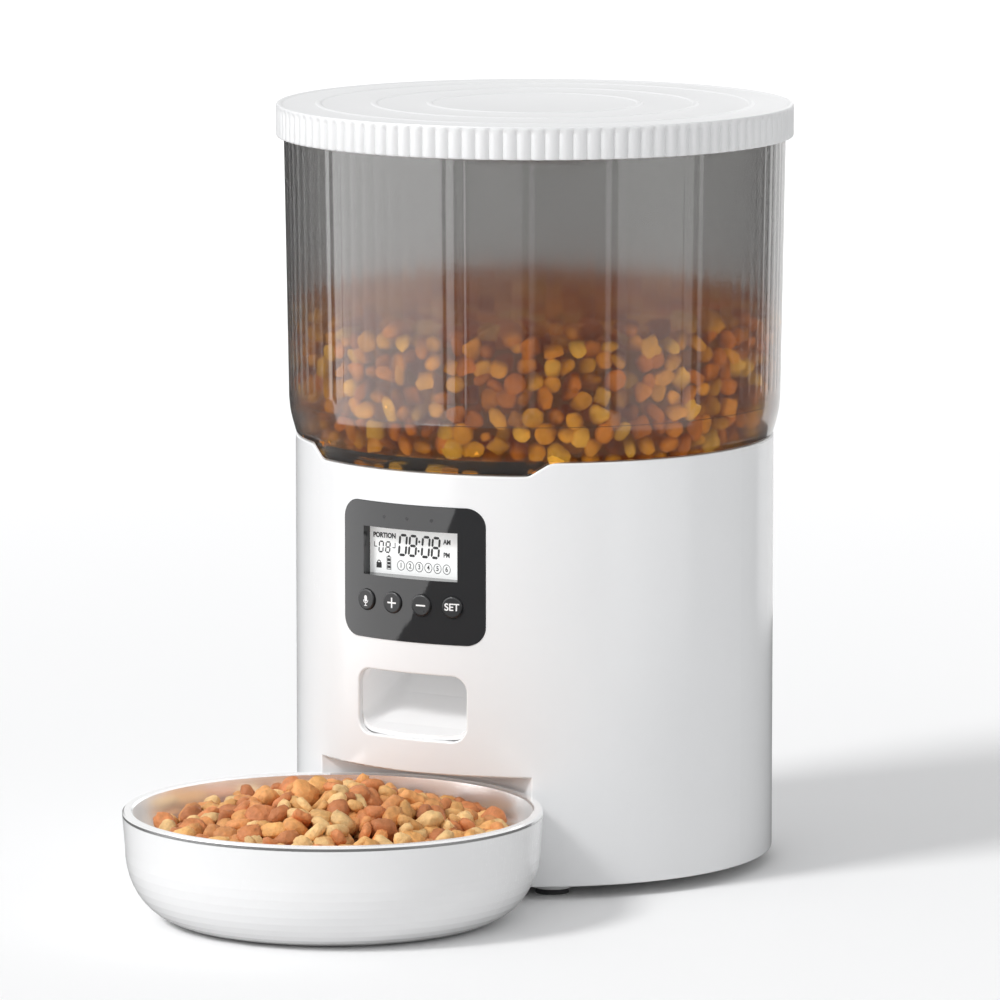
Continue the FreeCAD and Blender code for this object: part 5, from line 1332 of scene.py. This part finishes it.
def make_bowl_food():
    """The heap: the map starts a given depth under the dome and is filled up to it."""
    rng = np.random.default_rng(41)
    away = np.hypot(*map_cells(BOWL_CELLS, BOWL_CELL))
    ground = np.vectorize(heap_top)(away) - HEAP_DEPTH
    reach = BOWL_FOOD_R - 2.0
    centres, leans, sizes = drop_pieces(rng, ground, heap_top, reach, BOWL_CELL, 9000, (3.7, 6.2))
    centres = centres + np.array([0.0, BOWL_Y, 0.0])
    kinds = rng.integers(0, len(FOOD_SHAPES), len(sizes))
    return food_piece("food_in_bowl", centres, leans, sizes, kinds, 42, "steel_bowl", KIBBLE)


BOWL_FOOD = make_bowl_food()


# %% Put a core under the heap
def turned_solid(name, outline, radii, columns, material, body, axis_y, tint):
    """A whole turned piece of one tint from its outline, which starts and ends on the axis."""
    line = rounded_outline(outline, radii)
    angle = np.arange(columns) / columns * 2.0 * np.pi
    points = turned_points(line[:, 0][:, None] + 0.0 * angle, line[:, 1][:, None], angle[None, :], axis_y)
    piece = new_piece(name, points, grid_faces(len(line), columns, False), material, body)
    layer = piece.data.color_attributes.new("kibble_tint_and_shade", "FLOAT_COLOR", "POINT")
    layer.data.foreach_set("color", np.tile([*tint, 1.0], len(piece.data.vertices)))
    return piece


# The core's tint is darker than any piece: painted shade for the gaps deep in the heap.
CORE_SHADE_TINT = (0.30, 0.11, 0.035)
turned_solid(
    "food_core_in_bowl",
    [(0.0, 38.5), (30.0, 36.0), (56.0, 26.5), (60.0, 22.0), (48.0, 7.0), (0.0, 6.0)],
    [0.0, 12.0, 6.0, 2.0, 4.0, 0.0], 72, KIBBLE, "steel_bowl", BOWL_Y, CORE_SHADE_TINT,
)

# %% [markdown]
# ### The food in the hopper
#
# Behind the smoked wall the food shows as one layer pressed against it and a rough top.
# The wall layer is a shell of pieces that face outwards, placed on a loose lattice of
# turns and heights; a second shell fills the gaps behind it; the top is dropped like the
# heap in the bowl. Inside stands a core whose dark tint is painted shade, and it ends
# above the stirring arms. The tints are darkened with depth as painted shade and are paler
# on the top as painted light, and the food gives out light in its own colour, a painted
# glow which stands for the light that the tinted wall spreads over it.

# %% Fill the hopper
FOOD_LEVEL = 219.0
TOP_DOME = 1.5
TOP_R = 90.0
HOPPER_CELL = 1.0
HOPPER_CELLS = 191


def inner_wall(height):
    """The radius of the hopper's inside at a height."""
    return np.interp(height, [162.0, 165.3, 170.8, 179.8, 292.7], [82.0, 87.2, 90.6, 93.0, 94.9])


def shell_of_food(rng, behind, low, high, pitch):
    """Centres on rows of a lattice, shifted at random, a given depth behind the wall."""
    rows = np.arange(low, high, pitch * 0.86)
    centres = []
    for index, height in enumerate(rows):
        radius = inner_wall(height) - behind
        count = int(2.0 * math.pi * radius / pitch)
        turn = (np.arange(count) + 0.5 * (index % 2)) / count * 2.0 * np.pi
        turn = turn + rng.normal(0.0, 0.16, count) * pitch / radius
        z = height + rng.normal(0.0, 0.13, count) * pitch
        depth = radius - np.abs(rng.normal(0.0, 1.3, count))
        centres.append(np.stack([depth * np.sin(turn), -depth * np.cos(turn), z], axis=-1))
    return np.concatenate(centres)


# The hopper core's tint is painted shade: food deep behind the wall, darker than any piece.
DEEP_SHADE_TINT = (0.15, 0.05, 0.008)
SHADE_DEEP = np.array([0.25, 0.13, 0.03])
SHADE_TOP = np.array([0.36, 0.24, 0.15])


def lit_by_wall(points):
    """Painted light and shade. The light that the tinted wall lets in falls off with depth:
    share is a smooth step of (4.6 - depth behind the wall) / 3.4, over a dark shade that is
    paler on the top."""
    away = np.hypot(points[..., 0], points[..., 1] - AXIS_Y)
    depth = inner_wall(points[..., 2]) - away
    share = np.clip((4.6 - depth) / 3.4, 0.0, 1.0)[..., None]
    share = share * share * (3.0 - 2.0 * share)
    top = np.clip((points[..., 2] - FOOD_LEVEL + 6.0) / 4.0, 0.0, 1.0)[..., None]
    shade = SHADE_DEEP + (SHADE_TOP - SHADE_DEEP) * top
    return shade + (1.0 - shade) * share * np.array([1.0, 0.74, 0.18])


def hopper_top(away):
    """A nearly level dome: level + dome - dome x (away / top radius)^2."""
    return FOOD_LEVEL + TOP_DOME - TOP_DOME * (away / TOP_R) ** 2


def make_hopper_food():
    """The shell at the wall, the looser shell behind it and the dropped top, in one mesh."""
    rng = np.random.default_rng(7)
    near = shell_of_food(rng, 3.6, 165.5, FOOD_LEVEL - 2.0, 7.5)
    deep = shell_of_food(rng, 9.5, 166.0, FOOD_LEVEL - 4.0, 11.0)
    wall = np.concatenate([near, deep])
    outwards = wall * np.array([1.0, 1.0, 0.0])
    outwards /= np.linalg.norm(outwards, axis=1, keepdims=True)
    wall_leans = outwards + rng.normal(0.0, 0.42, wall.shape)
    wall_sizes = rng.uniform(3.5, 4.6, len(wall))
    ground = np.full((HOPPER_CELLS, HOPPER_CELLS), FOOD_LEVEL - 9.0)
    top, top_leans, top_sizes = drop_pieces(rng, ground, hopper_top, 88.0, HOPPER_CELL, 5000, (4.1, 6.0))
    centres = np.concatenate([wall, top]) + np.array([0.0, AXIS_Y, 0.0])
    leans = np.concatenate([wall_leans, top_leans])
    sizes = np.concatenate([wall_sizes, top_sizes])
    kinds = rng.integers(0, len(FOOD_SHAPES), len(sizes))
    return food_piece("food_in_hopper", centres, leans, sizes, kinds, 8, "hopper", KIBBLE_INSIDE, lit_by_wall)


HOPPER_FOOD = make_hopper_food()
turned_solid(
    "food_core_in_hopper",
    [
        (0.0, FOOD_LEVEL - 2.0), (60.0, FOOD_LEVEL - 7.0), (80.0, FOOD_LEVEL - 12.0),
        (80.5, 178.0), (76.0, 164.5), (0.0, 164.0),
    ],
    [0.0, 20.0, 4.0, 6.0, 4.0, 0.0], 72, KIBBLE_INSIDE, "hopper", AXIS_Y, DEEP_SHADE_TINT,
)

# %% [markdown]
# ## The floor
#
# The feeder stands on a plain white studio floor, wide enough that no view finds its
# edge. It is stage, not part of the feeder. Its paint has a faint unevenness, and it gives
# out a little light away from the feeder, so that it fades into the white of the room.

# %% Lay the floor
FLOOR_MATERIAL, floor_tree, floor_shader = start_material("studio_floor")
floor_paint = place_group(
    floor_tree, PIGMENT_DRIFT, Colour=(0.93, 0.93, 0.93, 1.0), Drift=0.004, Scale=0.8,
    Roughness=0.6, Roughness_Drift=0.05,
)
floor_tree.links.new(floor_paint.outputs["Colour"], floor_shader.inputs["Base Color"])
floor_tree.links.new(floor_paint.outputs["Roughness"], floor_shader.inputs["Roughness"])
floor_shader.inputs["Specular IOR Level"].default_value = 0.0
floor_place = node(floor_tree, "ShaderNodeTexCoord")
floor_far = node(floor_tree, "ShaderNodeVectorMath", operation="LENGTH")
floor_lift = node(floor_tree, "ShaderNodeMapRange", interpolation_type="SMOOTHSTEP")
for label, value in (("From Min", 0.3), ("From Max", 2.6), ("To Min", 0.0), ("To Max", 0.2)):
    floor_lift.inputs[label].default_value = value
floor_tree.links.new(floor_place.outputs["Object"], floor_far.inputs[0])
floor_tree.links.new(floor_far.outputs["Value"], floor_lift.inputs["Value"])
floor_tree.links.new(floor_lift.outputs["Result"], floor_shader.inputs["Emission Color"])
floor_shader.inputs["Emission Strength"].default_value = 1.0
floor_mesh = bpy.data.meshes.new("studio_floor")
HALF = 14.0
floor_mesh.from_pydata(
    [(-HALF, -HALF, 0.0), (HALF, -HALF, 0.0), (HALF, HALF, 0.0), (-HALF, HALF, 0.0)], [], [(0, 1, 2, 3)],
)
floor_mesh.materials.append(FLOOR_MATERIAL)
floor = bpy.data.objects.new("studio_floor", floor_mesh)
bpy.context.scene.collection.objects.link(floor)
floor.visible_glossy = False
print("floor", 2.0 * HALF, "metres across")
